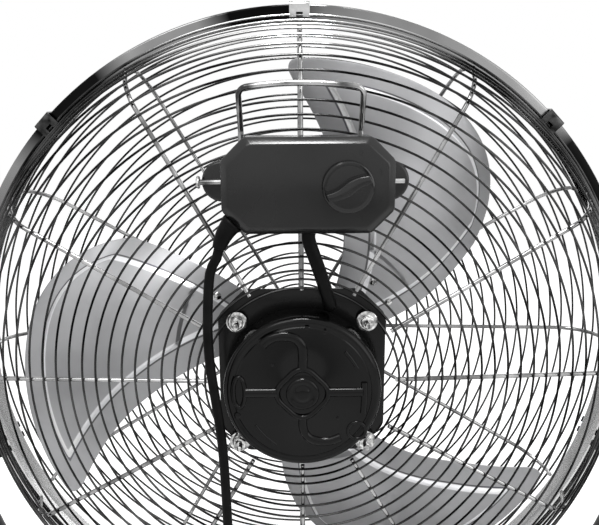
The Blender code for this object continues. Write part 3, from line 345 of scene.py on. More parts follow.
front_inner = 0.0298
front_y = -0.0614
rim_radius = 0.2720
rim_y = -0.0144
front_face = [front_inner + ring_pitch * step for step in range(21)]
front_stations = [(radius, front_y + 0.012 * (radius - front_inner) / 0.203) for radius in front_face]
front_end = front_stations[-1]
for step in range(1, 7):
    turn = pi / 2 * step / 6
    radius = front_end[0] + (rim_radius - front_end[0]) * sin(turn)
    front_stations.append((radius, rim_y + (front_end[1] - rim_y) * cos(turn)))
front_rings = rings(front_stations)
fit(front_rings, "front_guard_rings", ring_chrome_painted_reflections, "head", "chrome_wire", "front_guard", smooth=60)
front_line = []
for before, station, after in zip(front_stations, front_stations[1:], front_stations[2:]):
    along = Vector((after[0] - before[0], after[1] - before[1])).normalized()
    front_line.append((station[0] - along.y * spoke_sink, station[1] + along.x * spoke_sink))
front_line = [(0.028, front_y + spoke_sink), *front_line, (0.2682, -0.0150)]
front_spokes = spokes(front_line, (0.028, 0.028))
fit(front_spokes, "front_guard_spokes", spoke_chrome, "head", "chrome_wire", smooth=60)


# Guard clips: six strips of 1.2 mm spring steel, zinc plated, that hook over the hoop and both rim rings.
# Each is pressed on over the hoop, and a notch in each lip lets the spoke through.
clip_top = axis_height + 0.2804
clip_width = 0.0155
clip_sheet = 0.0012
clip_reach = 0.0164
clip_lip = 0.0105
notch_start = 0.0068
notch_width = 0.005
clip_zinc = surface("clip_zinc", 0.32, 0.62, (0.20, 0.34), 1.0, 70.0, 900.0)
# Painted shade: a nearly black copy of the clips' zinc, for the five clips that are not at the top.
shaded_zinc = surface("clip_zinc_painted_shade", 0.006, 0.09, (0.20, 0.34), 1.0, 120.0, 900.0)


def extrude(way, edges=False):
    """Extrudes the selected faces, or edges, by that way."""
    grow = bpy.ops.mesh.extrude_edges_move if edges else bpy.ops.mesh.extrude_region_move
    grow(TRANSFORM_OT_translate={"value": way})


def soften(piece, width, segments, angle=30):
    """Rounds the piece's edges that turn by more than the angle."""
    limit = radians(angle)
    modify(piece, "BEVEL", width=width, segments=segments, limit_method="ANGLE", angle_limit=limit)


clip = begin(
    bpy.ops.mesh.primitive_grid_add, x_subdivisions=3, y_subdivisions=1, size=1, location=(0, 0, clip_top)
)
clip.scale = (clip_width, 2 * clip_reach, 1)
set_down(clip)
grid_line = clip_width / 6
for side in (-1, 1):
    pick(clip, "VERT", lambda place, normal: abs(side * place.x - grid_line) < 0.001)
    bpy.ops.transform.translate(value=(side * (notch_width / 2 - grid_line), 0, 0))
pick(clip, "EDGE", lambda middle, along: abs(middle.y) > clip_reach - 0.001 and abs(along.x) > 0.5)
extrude((0, 0, -notch_start), edges=True)
extrude((0, 0, notch_start - clip_lip), edges=True)
pick(
    clip,
    "FACE",
    lambda middle, normal: abs(middle.y) > clip_reach - 0.001
    and abs(middle.x) < notch_width / 4
    and middle.z < clip_top - notch_start,
)
bpy.ops.mesh.delete(type="FACE")
pick(clip, "EDGE", lambda middle, along: abs(middle.z - clip_top) < 0.0001 and abs(along.x) > 0.5)
bpy.ops.mesh.bevel(offset=0.0012, segments=4, affect="EDGES")
outward()
if sum(face.normal.z * face.area for face in clip.data.polygons) < 0:
    pick(clip, "FACE")
    bpy.ops.mesh.flip_normals()
modify(clip, "SOLIDIFY", thickness=clip_sheet, offset=1)
soften(clip, 0.0002, 2)
for number, angle in enumerate((90, 44, 136, 198, 342, 270), 1):
    hook = turned_copy(clip, angle)
    # Only the top clip has the bright zinc; the others get its copy with painted shade.
    plating_or_painted_shade = clip_zinc if angle == 90 else shaded_zinc
    fit(hook, f"guard_clip_{number}_hook", plating_or_painted_shade, "head", "zinc_fastener", f"guard_clip_{number}")
bpy.data.objects.remove(clip)


# Badge: a plain moulded disc that closes the middle of the front guard and holds its spokes' ends.
# It has a raised rim and a shallow dished face.


def turned(profile, sides, place=(0, 0, 0), facing="back", hollow=False):
    """Round piece raised from a disc by one extrusion for each (radius, height), or hollow, from a ring."""
    turns = {
        "back": (-pi / 2, 0, 0),
        "front": upright,
        "left": (0, pi / 2, 0),
        "right": (0, -pi / 2, 0),
        "up": (0, 0, 0),
    }
    radius, height = profile[0]
    fill = "NOTHING" if hollow else "NGON"
    piece = begin(bpy.ops.mesh.primitive_circle_add, vertices=sides, radius=radius, fill_type=fill)
    piece.location.z = height
    pick(set_down(piece), "EDGE" if hollow else "FACE")
    for new_radius, new_height in profile[1:]:
        extrude((0, 0, new_height - height), edges=hollow)
        scale = new_radius / radius
        bpy.ops.transform.resize(value=(scale, scale, scale), center_override=(0, 0, new_height))
        radius, height = new_radius, new_height
    if hollow:
        bpy.ops.mesh.select_all(action="DESELECT")
        bpy.ops.mesh.select_non_manifold()
        bpy.ops.mesh.bridge_edge_loops()
    outward()
    piece.rotation_euler = turns[facing]
    piece.location = place
    return set_down(piece)


badge_plastic = surface(
    "badge_plastic", (0.018, 0.018, 0.019), (0.030, 0.030, 0.031), (0.30, 0.42), 0.0, 40.0, 900.0
)
badge = turned(
    [
        (0.0330, 0.0628), (0.0330, 0.0646), (0.0324, 0.0652), (0.0312, 0.0653), (0.0300, 0.0649),
        (0.0290, 0.0642), (0.0200, 0.0645), (0.0185, 0.0649), (0.0170, 0.0645), (0.0060, 0.0647),
    ],
    96,
    head_middle,
    "front",
)
fit(badge, "front_badge_disc", badge_plastic, "head", "black_plastic", "front_badge")


# Motor plate: 2 mm steel plate with cut corners, painted black, spot-welded to the motor's shell.
# Its corners take the four studs that clamp the rear guard.
plate_corner = 0.020
plate_hole = 0.052
motor_paint = surface("motor_paint", 0.004, 0.008, (0.16, 0.28), 0.0, 18.0, 420.0, 0.00003, shine=0.22)
low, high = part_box("motor_plate")


def cut_sheet(place, wide, tall, cut, rounding):
    """Upright sheet with cut corners, each rounded at both its ends, left open for editing."""
    sheet = begin(bpy.ops.mesh.primitive_plane_add, size=1, location=place, rotation=upright)
    sheet.dimensions = (wide, tall, 0)
    pick(set_down(sheet), "VERT")
    bpy.ops.mesh.bevel(offset=cut, affect="VERTICES")
    bpy.ops.mesh.select_all(action="SELECT")
    bpy.ops.mesh.bevel(offset=rounding, segments=4, affect="VERTICES")
    return sheet


plate = cut_sheet((0, low.y, (low.z + high.z) / 2), high.x - low.x, high.z - low.z, plate_corner, 0.004)
bpy.ops.mesh.select_all(action="SELECT")
bpy.ops.mesh.delete(type="ONLY_FACE")
bpy.ops.object.mode_set(mode="OBJECT")
hole = begin(
    bpy.ops.mesh.primitive_circle_add,
    vertices=48,
    radius=plate_hole,
    location=(0, low.y, axis_height),
    rotation=upright,
)
plate = join([plate, set_down(hole)])
pick(plate, "EDGE")
bpy.ops.mesh.bridge_edge_loops()
outward()
modify(plate, "SOLIDIFY", thickness=high.y - low.y, offset=0)
sheet_y = sum(corner.co.y for corner in plate.data.vertices) / len(plate.data.vertices)
plate.location.y = (low.y + high.y) / 2 - sheet_y
set_down(plate)
soften(plate, 0.0004, 2, 50)
fit(plate, "motor_plate_cut", motor_paint, "head", "black_paint", "motor_plate")


# Motor housing: a drawn steel cup over the stator, painted black, with the front bearing's seat in its end.
# It is held between the plate and the stator's core.
low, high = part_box("motor_housing")
housing = turned(
    [
        (0.056, high.y), (0.058, high.y), (0.058, high.y - 0.006), (0.0572, high.y - 0.0072),
        (0.0572, high.y - 0.010), (0.058, high.y - 0.0112), (0.058, low.y + 0.005), (0.0574, low.y + 0.0025),
        (0.056, low.y + 0.001), (0.0535, low.y), (0.024, low.y), (0.0225, low.y + 0.0012),
        (0.0165, low.y + 0.0012), (0.015, low.y), (0.0057, low.y), (0.0057, low.y + 0.002),
        (0.014, low.y + 0.0035), (0.052, low.y + 0.003), (0.056, low.y + 0.006),
    ],
    96,
    head_middle,
    "back",
    hollow=True,
)
fit(housing, "motor_housing_cup", motor_paint, "head", "black_paint", "motor_housing")


# Motor rear cap: die-cast cover over the rear bearing, painted black, with raised ribs and a round boss.
# It is screwed to the plate from inside.
cap_paint = surface("cap_paint", 0.002, 0.004, (0.10, 0.18), 0.0, 22.0, 520.0, 0.00003, shine=0.20)
low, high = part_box("motor_rear_cap")
cap_face = low.y + 0.024


def smooth_line(points, spacing):
    """Points at an even spacing on one smooth curve through the given ones."""
    knots = [Vector(point) for point in points]
    knots = [2 * knots[0] - knots[1]] + knots + [2 * knots[-1] - knots[-2]]
    fine = []
    for a, b, c, d in zip(knots, knots[1:], knots[2:], knots[3:]):
        second, third = 2 * a - 5 * b + 4 * c - d, 3 * b - a - 3 * c + d
        for step in range(20):
            t = step / 20
            fine.append(0.5 * (2 * b + (c - a) * t + second * t**2 + third * t**3))
    fine.append(knots[-2])
    lengths = [0.0]
    for near, far in zip(fine, fine[1:]):
        lengths.append(lengths[-1] + (far - near).length)
    count = max(2, round(lengths[-1] / spacing))
    line = []
    index = 0
    for step in range(count + 1):
        wanted = lengths[-1] * step / count
        while index < len(fine) - 2 and lengths[index + 1] < wanted:
            index += 1
        share = (wanted - lengths[index]) / (lengths[index + 1] - lengths[index])
        line.append(fine[index].lerp(fine[index + 1], share))
    return line


def cap_rib(route, width, height):
    """Rounded rib on the cap's face along a route in mm from its middle, right and up as seen from behind."""
    points = [(-x / 1000, cap_face, axis_height + z / 1000) for x, z in route]
    bar = rod(smooth_line(points, 0.0018), width)
    pick(bar, "VERT")
    bpy.ops.transform.resize(value=(1, 2 * height / width, 1), center_override=(0, cap_face, axis_height))
    bpy.ops.object.mode_set(mode="OBJECT")
    return bar


def oval(x, z, wide, tall, steps):
    """Closed route of an oval round a middle, in mm."""
    turns = [2 * pi * step / steps for step in range(steps + 1)]
    return [(x + wide * cos(turn), z + tall * sin(turn)) for turn in turns]


cap = turned(
    [
        (0.0583, low.y - cap_face), (0.0583, -0.005), (0.0579, -0.0028), (0.0568, -0.0012), (0.0555, -0.0003),
        (0.0543, 0), (0.053, -0.0001), (0.0522, -0.0007), (0.051, -0.0007), (0.0502, 0), (0.0175, 0),
        (0.0163, 0.0007), (0.0150, 0.0011), (0.0122, 0.0012), (0.0116, 0.0021), (0.0104, 0.0026),
        (0.0092, 0.0025), (0.0080, 0.0016), (0.0062, 0.0016), (0.0052, 0.0024), (0.0030, 0.0030),
    ],
    96,
    (0, cap_face, axis_height),
)
diamond = []
for step in range(41):
    turn = 2 * pi * step / 40
    reach = 17.6 + 1.3 * cos(4 * turn)
    diamond.append((reach * cos(turn), reach * sin(turn)))
ribs = [
    cap_rib(diamond, 0.0044, 0.0023),
    cap_rib(oval(-46.4, 1.2, 4.2, 12, 24), 0.0034, 0.0018),
    cap_rib(((-19, 0.8), (-30, 0.8), (-42, 0.8)), 0.0072, 0.0026),
    cap_rib(((19, 0.8), (32, 0.8), (44, 0.8)), 0.0072, 0.0026),
    cap_rib(((45, 8.3), (45.3, -4), (44.6, -15.7)), 0.0048, 0.0020),
    cap_rib(((0, 18), (0.3, 30), (-1, 38), (-7, 43), (-16, 44), (-24, 41.5), (-28.5, 37.5)), 0.0072, 0.0023),
    cap_rib(((0, -18), (0.2, -27), (3, -34), (10, -38), (19, -38.5), (28, -35.5)), 0.0066, 0.0022),
    cap_rib(((31, 32), (36, 25.5), (40, 19)), 0.0026, 0.0009),
    cap_rib(((-35, -25), (-29, -33), (-20, -41)), 0.0022, 0.0007),
    cap_rib(oval(40, -30, 6.6, 6.6, 16), 0.0026, 0.001),
]
for x, z, radius in ((3.4, 50.2, 1.5), (16, 46.8, 1.5), (-48, -17.3, 2.4), (-22, 22, 1.2), (26, -20, 1.2)):
    size = radius / 1000
    pip = [(size, -0.001), (size, 0.0004), (0.5 * size, 0.0008)]
    ribs.append(turned(pip, 16, (-x / 1000, cap_face, axis_height + z / 1000)))
cap = join([cap] + ribs)
fit(cap, "motor_cap_cast", cap_paint, "head", "black_paint", "motor_rear_cap", smooth=40)


# Studs and flange nuts: zinc plated M5 studs in the plate's corners, each with a washer and a hexagon nut.
# They clamp the guard's inner ring between the plate and the washers.
fastener_zinc = surface("fastener_zinc", 0.12, (0.96, 0.96, 0.95), (0.06, 0.16), 1.0, 240.0, 1500.0)
stud_circle = 0.0685


def hexagon_nut(seat, top, across, place):
    """Hexagon nut with chamfered corners."""
    nut = begin(
        bpy.ops.mesh.primitive_cylinder_add,
        vertices=6,
        radius=across / sqrt(3),
        depth=top - seat,
        location=(place[0], (seat + top) / 2, place[2]),
        rotation=upright,
    )
    soften(set_down(nut), 0.0006, 3)
    return nut


for number, angle in enumerate((135, 45, 225, 315), 1):
    turn = radians(angle)
    spot = (-stud_circle * cos(turn), 0, axis_height + stud_circle * sin(turn))
    low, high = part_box(f"flange_nut_{number}")
    washer = turned(
        [
            (0.0029, low.y), (0.0078, low.y), (0.0080, low.y + 0.0004), (0.0078, low.y + 0.0010),
            (0.0068, low.y + 0.0014), (0.0050, low.y + 0.0014), (0.0029, low.y + 0.0012),
        ],
        40,
        spot,
        hollow=True,
    )
    nut = join([washer, hexagon_nut(low.y + 0.0013, high.y, 0.0090, spot)])
    fit(nut, f"flange_nut_{number}_hexagon", fastener_zinc, "head", "zinc_fastener", f"flange_nut_{number}")
    low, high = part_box(f"guard_stud_{number}")
    rounds = [(0.0025, low.y)]
    y = low.y + 0.0095
    while y < high.y - 0.0014:
        rounds += [(0.0025, y), (0.00215, y + 0.0004)]
        y += 0.0008
    rounds += [(0.0024, high.y - 0.0010), (0.0021, high.y - 0.0003), (0.0014, high.y)]
    stud = turned(rounds, 20, spot)
    fit(stud, f"guard_stud_{number}_threaded", fastener_zinc, "head", "zinc_fastener", f"guard_stud_{number}")


# Inside of the motor: the stator with its winding, two ball bearings and the rotor's laminated core.
# They are pressed into the shell and onto the shaft, and are out of sight.
core_finish = surface(
    "core_laminations", (0.16, 0.16, 0.17), (0.26, 0.26, 0.27), (0.40, 0.55), 1.0, 50.0, 900.0,
    stretch=(1, 14, 1),
)
bearing_steel = surface(
    "bearing_steel", (0.46, 0.46, 0.47), (0.60, 0.60, 0.61), (0.18, 0.30), 1.0, 120.0, 1500.0
)


def dress(material, *nodes):
    """Gives CAD nodes that stay in view their material."""
    for node in nodes:
        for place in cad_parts[node].material_slots:
            place.material = material


dress(core_finish, "stator", "rotor_core")
dress(bearing_steel, "front_bearing", "rear_bearing", "motor_shaft")


# Blade hub: a turned steel collar on a pressed disc with three arms that lean with the blades' pitch.
# It is fixed on the shaft by a set screw.
blade_pitch = tan(radians(15.0))
arm_drop = 0.00368
toe_angles = (94.0, 214.0, 334.0)
root_middle = -58.4
hub_paint = surface("hub_paint", (0.014, 0.014, 0.015), (0.026, 0.026, 0.027), (0.32, 0.46), 0.0, 30.0, 600.0)
collar = turned(
    [
        (0.0053, -0.0150), (0.0122, -0.0150), (0.0130, -0.0142), (0.0130, 0.0142), (0.0122, 0.0150),
        (0.0053, 0.0150),
    ],
    48,
    head_middle,
    hollow=True,
)
disc = turned(
    [
        (0.0120, -arm_drop - 0.00125), (0.0376, -arm_drop - 0.00125), (0.0380, -arm_drop - 0.0009),
        (0.0380, -arm_drop + 0.0009), (0.0376, -arm_drop + 0.00125), (0.0120, -arm_drop + 0.00125),
    ],
    72,
    head_middle,
    hollow=True,
)
arm = begin(
    bpy.ops.mesh.primitive_plane_add, size=1, location=(0, -arm_drop, axis_height + 0.061), rotation=upright
)
arm.scale = (0.042, 0.066, 1)
set_down(arm)
pick(arm, "VERT", lambda place, normal: place.z > axis_height + 0.08)
bpy.ops.mesh.bevel(offset=0.007, segments=5, affect="VERTICES")
pick(arm, "FACE")
extrude((0, 0.0024, 0))
bpy.ops.mesh.select_all(action="SELECT")
bpy.ops.transform.translate(value=(0, -0.0012, 0))
outward()
for corner in arm.data.vertices:
    corner.co.y += blade_pitch * corner.co.x
soften(arm, 0.0004, 2, 50)
arms = [turned_copy(arm, toe + root_middle) for toe in toe_angles]
bpy.data.objects.remove(arm)
hub = join([collar, disc] + arms)
fit(hub, "blade_hub_pressed", hub_paint, "rotor", "black_paint", "blade_hub")
dress(fastener_zinc, "hub_set_screw")


# Blades: three sheets of 1.5 mm aluminium, each pressed with a raised panel inside its rounded outline.
# Four rivets fix each one to its arm of the hub.
blade_radius = 0.240
blade_root = 0.048
blade_sheet = 0.0015
blade_corner = 0.016
lead_angle = -35.0
trail_angle = -81.8
tip_angle = -57.0
tip_cut = 0.065
tip_power = 7.4
panel_inset = 0.016
panel_rise = 0.0024
blade_metal = surface(
    "blade_metal", (0.40, 0.40, 0.41), (0.55, 0.55, 0.56), (0.34, 0.48), 1.0, 10.0, 900.0, 0.00002
)
tree = blade_metal.node_tree
inset = wire(tree, "Attribute", {}, attribute_name="inset").outputs["Fac"]
# Painted light and shade along the panel's raised step, read from the distance to the blade's edge: a dark
# band at the step's foot and a bright band up its slope, overlaid on the metal's tone.
stops = ((0.30, 0.44), (0.36, 0.06), (0.44, 0.10), (0.50, 1.0), (0.78, 1.0), (0.86, 0.42))
painted_step_light = toned(tree, graded(tree, inset, 0.012, 0.022), *stops)
metal_with_painted_step_light = mixed(tree, 0.9, tree.nodes["Color Ramp"].outputs["Color"], painted_step_light, "OVERLAY")
tree.links.new(metal_with_painted_step_light, tree.nodes["Principled BSDF"].inputs["Base Color"])


def ease(value):
    """Smooth way from 0 to 1 as the value goes from 0 to 1."""
    value = min(max(value, 0.0), 1.0)
    return value * value * (3 - 2 * value)


def round_loss(distance, radius):
    """How much a corner's round takes off, at this distance from the corner."""
    return radius - sqrt(radius**2 - max(radius - distance, 0.0) ** 2)


def blade_point(out, across, toe_angle):
    """Point of the blade's sheet, out from its root and across from its leading edge, and its way in."""
    tip_chord = blade_radius * radians(-tip_angle)
    tip = blade_radius - round_loss(across * tip_chord, blade_corner) - tip_cut * across**tip_power
    radius = blade_root + (tip - blade_root) * out
    share = (radius - blade_root) / (blade_radius - blade_root)
    lead = lead_angle * (1 - max(share, 0.0) ** 0.92)
    trail = trail_angle * (1 - share) + tip_angle * share
    angle = lead + (trail - lead) * across
    from_root = radius * sin(radians(angle - root_middle))
    span = radius * radians(lead - trail)
    bow = 0.006 - 0.018 * (1 - 2 * across) ** 2
    bend = ease((radius - 0.094) / 0.094)
    y = blade_pitch * from_root * (1 - bend) + (blade_pitch * span * (0.5 - across) + bow) * bend
    slope = tip_cut * tip_power * across ** (tip_power - 1) / span
    nearest = min(across * span / 1.45, (1 - across) * span, (tip - radius) / hypot(1, slope))
    y += panel_rise * ease((min(nearest, radius - 0.088) - panel_inset) / 0.0035)
    turn = radians(toe_angle + angle)
    return Vector((-radius * cos(turn), y, axis_height + radius * sin(turn))), nearest


def rivet(across, out, toe_angle):
    """Domed rivet through the blade's root and the arm under it."""
    dome = [(0.0034, -0.0006), (0.0034, 0.0004), (0.0030, 0.0011), (0.0020, 0.0016), (0.0009, 0.0018)]
    head = turned(dome, 20)
    lean = Matrix.Rotation(atan(blade_pitch), 4, "Z")
    at_top = Matrix.Translation((across, blade_pitch * across + blade_sheet / 2, out))
    angle = Matrix.Rotation(radians(toe_angle + root_middle - 90), 4, "Y")
    head.matrix_world = Matrix.Translation(head_middle) @ angle @ at_top @ lean
    return set_down(head)


for number, toe in enumerate(toe_angles, 1):
    blade = begin(bpy.ops.mesh.primitive_grid_add, x_subdivisions=120, y_subdivisions=110, size=1)
    inset = blade.data.attributes.new("inset", "FLOAT", "POINT")
    for corner in blade.data.vertices:
        across = corner.co.y + 0.5
        across = 0.6 * across + 0.4 * ease(across)
        corner.co, inset.data[corner.index].value = blade_point(corner.co.x + 0.5, across, toe)
    modify(blade, "SOLIDIFY", thickness=blade_sheet, offset=0)
    soften(blade, 0.0003, 2, 60)
    fit(blade, f"blade_{number}_pressed", blade_metal, "rotor", "blade_aluminium", f"blade_{number}")
    heads = [rivet(across, out, toe) for across in (-0.012, 0.012) for out in (0.058, 0.084)]
    fit(join(heads), f"blade_{number}_rivets", fastener_zinc, "rotor", "zinc_fastener")


# Bracket of the switch box: a moulded bar with round ends that lies across the rear guard's rings.
# A zinc plated clamp plate inside the guard and two screws pull the bracket and the box together.
box_shift = 0.00425
box_middle = axis_height + 0.1536
box_plastic = surface("box_plastic", 0.007, 0.012, (0.14, 0.22), 0.0, 16.0, 1100.0, 0.00002, shine=0.40)
low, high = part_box("box_bracket")
bracket_back = 0.08428
bracket_shift = 0.003
bracket = begin(
    bpy.ops.mesh.primitive_cylinder_add,
    vertices=48,
    radius=0.0145,
    depth=bracket_back - low.y,
    location=(-bracket_shift, (low.y + bracket_back) / 2, box_middle),
    rotation=upright,
)
set_down(bracket)
for side in (-1, 1):
    pick(bracket, "VERT", lambda place, normal: side * (place.x + bracket_shift) > 0.0001)
    bpy.ops.transform.translate(value=(side * 0.0585, 0, 0))
soften(bracket, 0.0022, 5, 50)
pad_middle = (-box_shift, (bracket_back + high.y) / 2 - 0.002, box_middle)
pad = begin(bpy.ops.mesh.primitive_cube_add, size=1, location=pad_middle)
pad.scale = (0.066, high.y - bracket_back + 0.004, 0.0232)
soften(set_down(pad), 0.0015, 3)
bracket = join([bracket, pad])
fit(bracket, "box_bracket_moulded", box_plastic, "head", "black_plastic", "box_bracket")
low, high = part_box("box_clamp_plate")
clamp = begin(bpy.ops.mesh.primitive_grid_add, x_subdivisions=5, y_subdivisions=1, size=1, rotation=upright)
clamp.scale = (high.x - low.x, 1, 1)
clamp.dimensions = (high.x - low.x, high.z - low.z, 0)
clamp.location = (0, low.y + 0.001, (low.z + high.z) / 2)
set_down(clamp)
for side in (-1, 1):
    pick(clamp, "VERT", lambda place, normal: 0.003 < side * place.x < 0.010)
    bpy.ops.transform.translate(value=(side * (0.0038 - 0.0053), -0.0032, 0))
for side in (-1, 1):
    pick(clamp, "VERT", lambda place, normal: 0.010 < side * place.x < 0.020)
    bpy.ops.transform.translate(value=(side * (0.0060 - 0.0159), 0, 0))
modify(clamp, "SOLIDIFY", thickness=0.002, offset=0)
soften(clamp, 0.0005, 2)
fit(clamp, "box_clamp_channel", clip_zinc, "head", "zinc_fastener", "box_clamp_plate")
dress(fastener_zinc, "box_screw_1", "box_screw_2")


# Switch box: two moulded shells with cut corners that meet at a parting line. The base is screwed to the
# bracket, and the cover, with its broad chamfer, snaps over it. Plain numbers are moulded round the knob.
box_half_width = 0.058
box_half_height = 0.03225
box_corner = 0.0155
box_chamfer = 0.0046
base_low, base_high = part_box("switch_box_base")
cover_low, cover_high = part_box("switch_box_cover")


def box_shell(front, back):
    """Solid with the box's outline, cut corners and all, from front to back."""
    spot = (-box_shift, front, box_middle)
    shell = cut_sheet(spot, 2 * box_half_width, 2 * box_half_height, box_corner, 0.0022)
    pick(shell, "FACE")
    extrude((0, back - front, 0))
    outward()
    return shell


base = box_shell(base_low.y, base_high.y)
soften(base, 0.0009, 3, 60)
fit(base, "switch_box_base_shell", box_plastic, "head", "black_plastic", "switch_box_base")
cover = box_shell(cover_low.y, cover_high.y - box_chamfer)
pick(cover, "FACE", lambda middle, normal: normal.y > 0.9)
extrude((0, box_chamfer, 0))
bpy.ops.transform.resize(
    value=(1 - box_chamfer / box_half_width, 1, 1 - box_chamfer / box_half_height),
    center_override=(-box_shift, 0, box_middle),
)
bpy.ops.object.mode_set(mode="OBJECT")
soften(cover, 0.0009, 3)
numerals = []
numeral_circle = 0.0235
knob_x = -0.0305
knob_middle = Vector((knob_x, 0, box_middle))
for text, angle in (("0", 69), ("3", 24), ("2", -21), ("1", -66)):
    bpy.ops.object.text_add(rotation=(pi / 2, 0, pi))
    letter = bpy.context.object
    letter.data.body = text
    letter.data.size = 0.0048
    letter.data.align_x = "CENTER"
    letter.data.align_y = "CENTER"
    letter.data.extrude = 0.00018
    turn = radians(angle)
    spot = Vector((-cos(turn), 0, sin(turn))) * numeral_circle
    letter.location = knob_middle + spot + Vector((0, cover_high.y + 0.00005, 0))
    only(letter)
    bpy.ops.object.convert(target="MESH")
    numerals.append(set_down(bpy.context.object))
cover = join([cover] + numerals)
fit(cover, "switch_box_cover_shell", box_plastic, "head", "black_plastic", "switch_box_cover")


# Speed knob: a moulded disc, 35 mm across, with a waved grip bar across it, pushed onto the switch's stem.
# The bar points at the number that is set.
knob_plastic = surface("knob_plastic", 0.008, 0.014, (0.12, 0.20), 0.0, 30.0, 1300.0, 0.00002, shine=0.42)
low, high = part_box("speed_knob")
knob_seat = 0.11698
knob = turned(
    [
        (0.0030, low.y - knob_seat), (0.0030, 0.0003), (0.0165, 0.0003), (0.0168, 0.0012), (0.0172, 0.0016),
        (0.0173, 0.0036), (0.0169, 0.0046), (0.0160, 0.0050), (0.0150, 0.0046), (0.0140, 0.0046),
    ],
    96,
    knob_middle + Vector((0, knob_seat, 0)),
)
pointer = radians(24)
bar_foot = knob_seat + 0.0030
grip = begin(bpy.ops.mesh.primitive_grid_add, x_subdivisions=40, y_subdivisions=1, size=1)
for corner in grip.data.vertices:
    along = corner.co.x * 0.0315
    side = 1 if corner.co.y > 0 else -1
    half = 0.0034 + 0.0012 * exp(-((along / 0.007) ** 2)) - 0.0006 * (abs(along) / 0.0158) ** 6
    wave = 0.0012 * sin(2 * pi * along / 0.030)
    corner.co = Vector((along, side * half + wave, 0))
pick(grip, "FACE")
extrude((0, 0, high.y - bar_foot))
bpy.ops.transform.resize(value=(0.97, 0.86, 1), center_override=(0, 0, high.y - bar_foot))
outward()
soften(grip, 0.0007, 3, 40)
grip.matrix_world = (
    Matrix.Translation(knob_middle + Vector((0, bar_foot, 0)))
    @ Matrix.Rotation(pointer, 4, "Y")
    @ Matrix.Rotation(-pi / 2, 4, "X")
)
knob = join([knob, set_down(grip)])
fit(knob, "speed_knob_moulded", knob_plastic, "speed_dial", "black_plastic", "speed_knob")


# Inside of the box: the rotary switch behind the knob and the motor's run capacitor, in moulded cases.
# The switch is clipped to the cover, and the capacitor lies in the base.
case_plastic = surface(
    "case_plastic", (0.08, 0.08, 0.085), (0.12, 0.12, 0.125), (0.40, 0.52), 0.0, 40.0, 900.0
)
dress(case_plastic, "rotary_switch", "capacitor")


# Carrying handle: one bent steel rod of 4 mm, chromed, held between the bracket and the box.
# Its left end has a zinc plated cap.
handle_chrome = surface("handle_chrome", 0.06, 0.56, (0.06, 0.14), 1.0, 55.0, 700.0)
handle_y = 0.08658
handle_half = 0.0414
handle_bend = 0.036
handle_top = 0.0635
handle_lean = 0.016


def cornered(points, radius, steps=8):
    """Points with each inner corner rounded to an arc."""
    line = [Vector(points[0])]
    for before, corner, after in zip(points, points[1:], points[2:]):
        corner = Vector(corner)
        back = (Vector(before) - corner).normalized()
        on = (Vector(after) - corner).normalized()
        half = back.angle(on) / 2
        middle = corner + (back + on).normalized() * radius / sin(half)
        start = corner + back * (radius / tan(half)) - middle
        finish = corner + on * (radius / tan(half)) - middle
        sweep = start.angle(finish)
        for step in range(steps + 1):
            share = step / steps
            reach = start * sin((1 - share) * sweep) + finish * sin(share * sweep)
            line.append(middle + reach / sin(sweep))
    line.append(Vector(points[-1]))
    return line


handle_route = [
    (0.0705, handle_y, box_middle),
    (handle_half, handle_y, box_middle),
    (handle_half, handle_y, box_middle + handle_bend),
]
for step in range(13):
    share = 1 - step / 6
    arch = 0.003 * (1 - share * share)
    handle_route.append((handle_half * share, handle_y + handle_lean, box_middle + handle_top + arch))
handle_route += [
    (-handle_half, handle_y, box_middle + handle_bend),
    (-handle_half, handle_y, box_middle),
    (-0.0721, handle_y, box_middle),
]
handle = rod(cornered(handle_route, 0.0065), 0.004, 16)
fit(handle, "carry_handle_bent", handle_chrome, "head", "chrome_wire", "carry_handle", smooth=60)
low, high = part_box("handle_end_cap")
cap_length = high.x - low.x
end_cap = turned(
    [
        (0.0040, 0), (0.0045, 0.0004), (0.0045, cap_length - 0.0012), (0.0041, cap_length - 0.0004),
        (0.0030, cap_length),
    ],
    32,
    (low.x, handle_y, box_middle),
    "left",
)
fit(end_cap, "handle_end_cap_turned", fastener_zinc, "head", "zinc_fastener", "handle_end_cap")


# Motor lead: a short thick rubber sleeve with the motor's wires, from the box's underside to the motor plate.
# Its ends are held in the box and at the plate.
sheath = surface("rubber_sheath", 0.002, 0.005, (0.34, 0.48), 0.0, 60.0, 1500.0, 0.00003, shine=0.08)
lead_start = Vector((-0.0050, 0.10188, axis_height + 0.12105))
lead_end = Vector((-0.0200, 0.0747, axis_height + 0.0622))
lead_route = (
    lead_start,
    lead_start - Vector((0, 0, 0.0070)),
    Vector((-0.0125, 0.0995, axis_height + 0.0916)),
    lead_end + Vector((0, 0.0144, 0.0038)),
    lead_end + Vector((0, 0.0058, 0)),
    lead_end,
)
lead = rod(smooth_line(lead_route, 0.0025), 0.0096, 20)
fit(lead, "motor_lead_sleeve", sheath, "head", "black_rubber", "motor_lead", smooth=60)


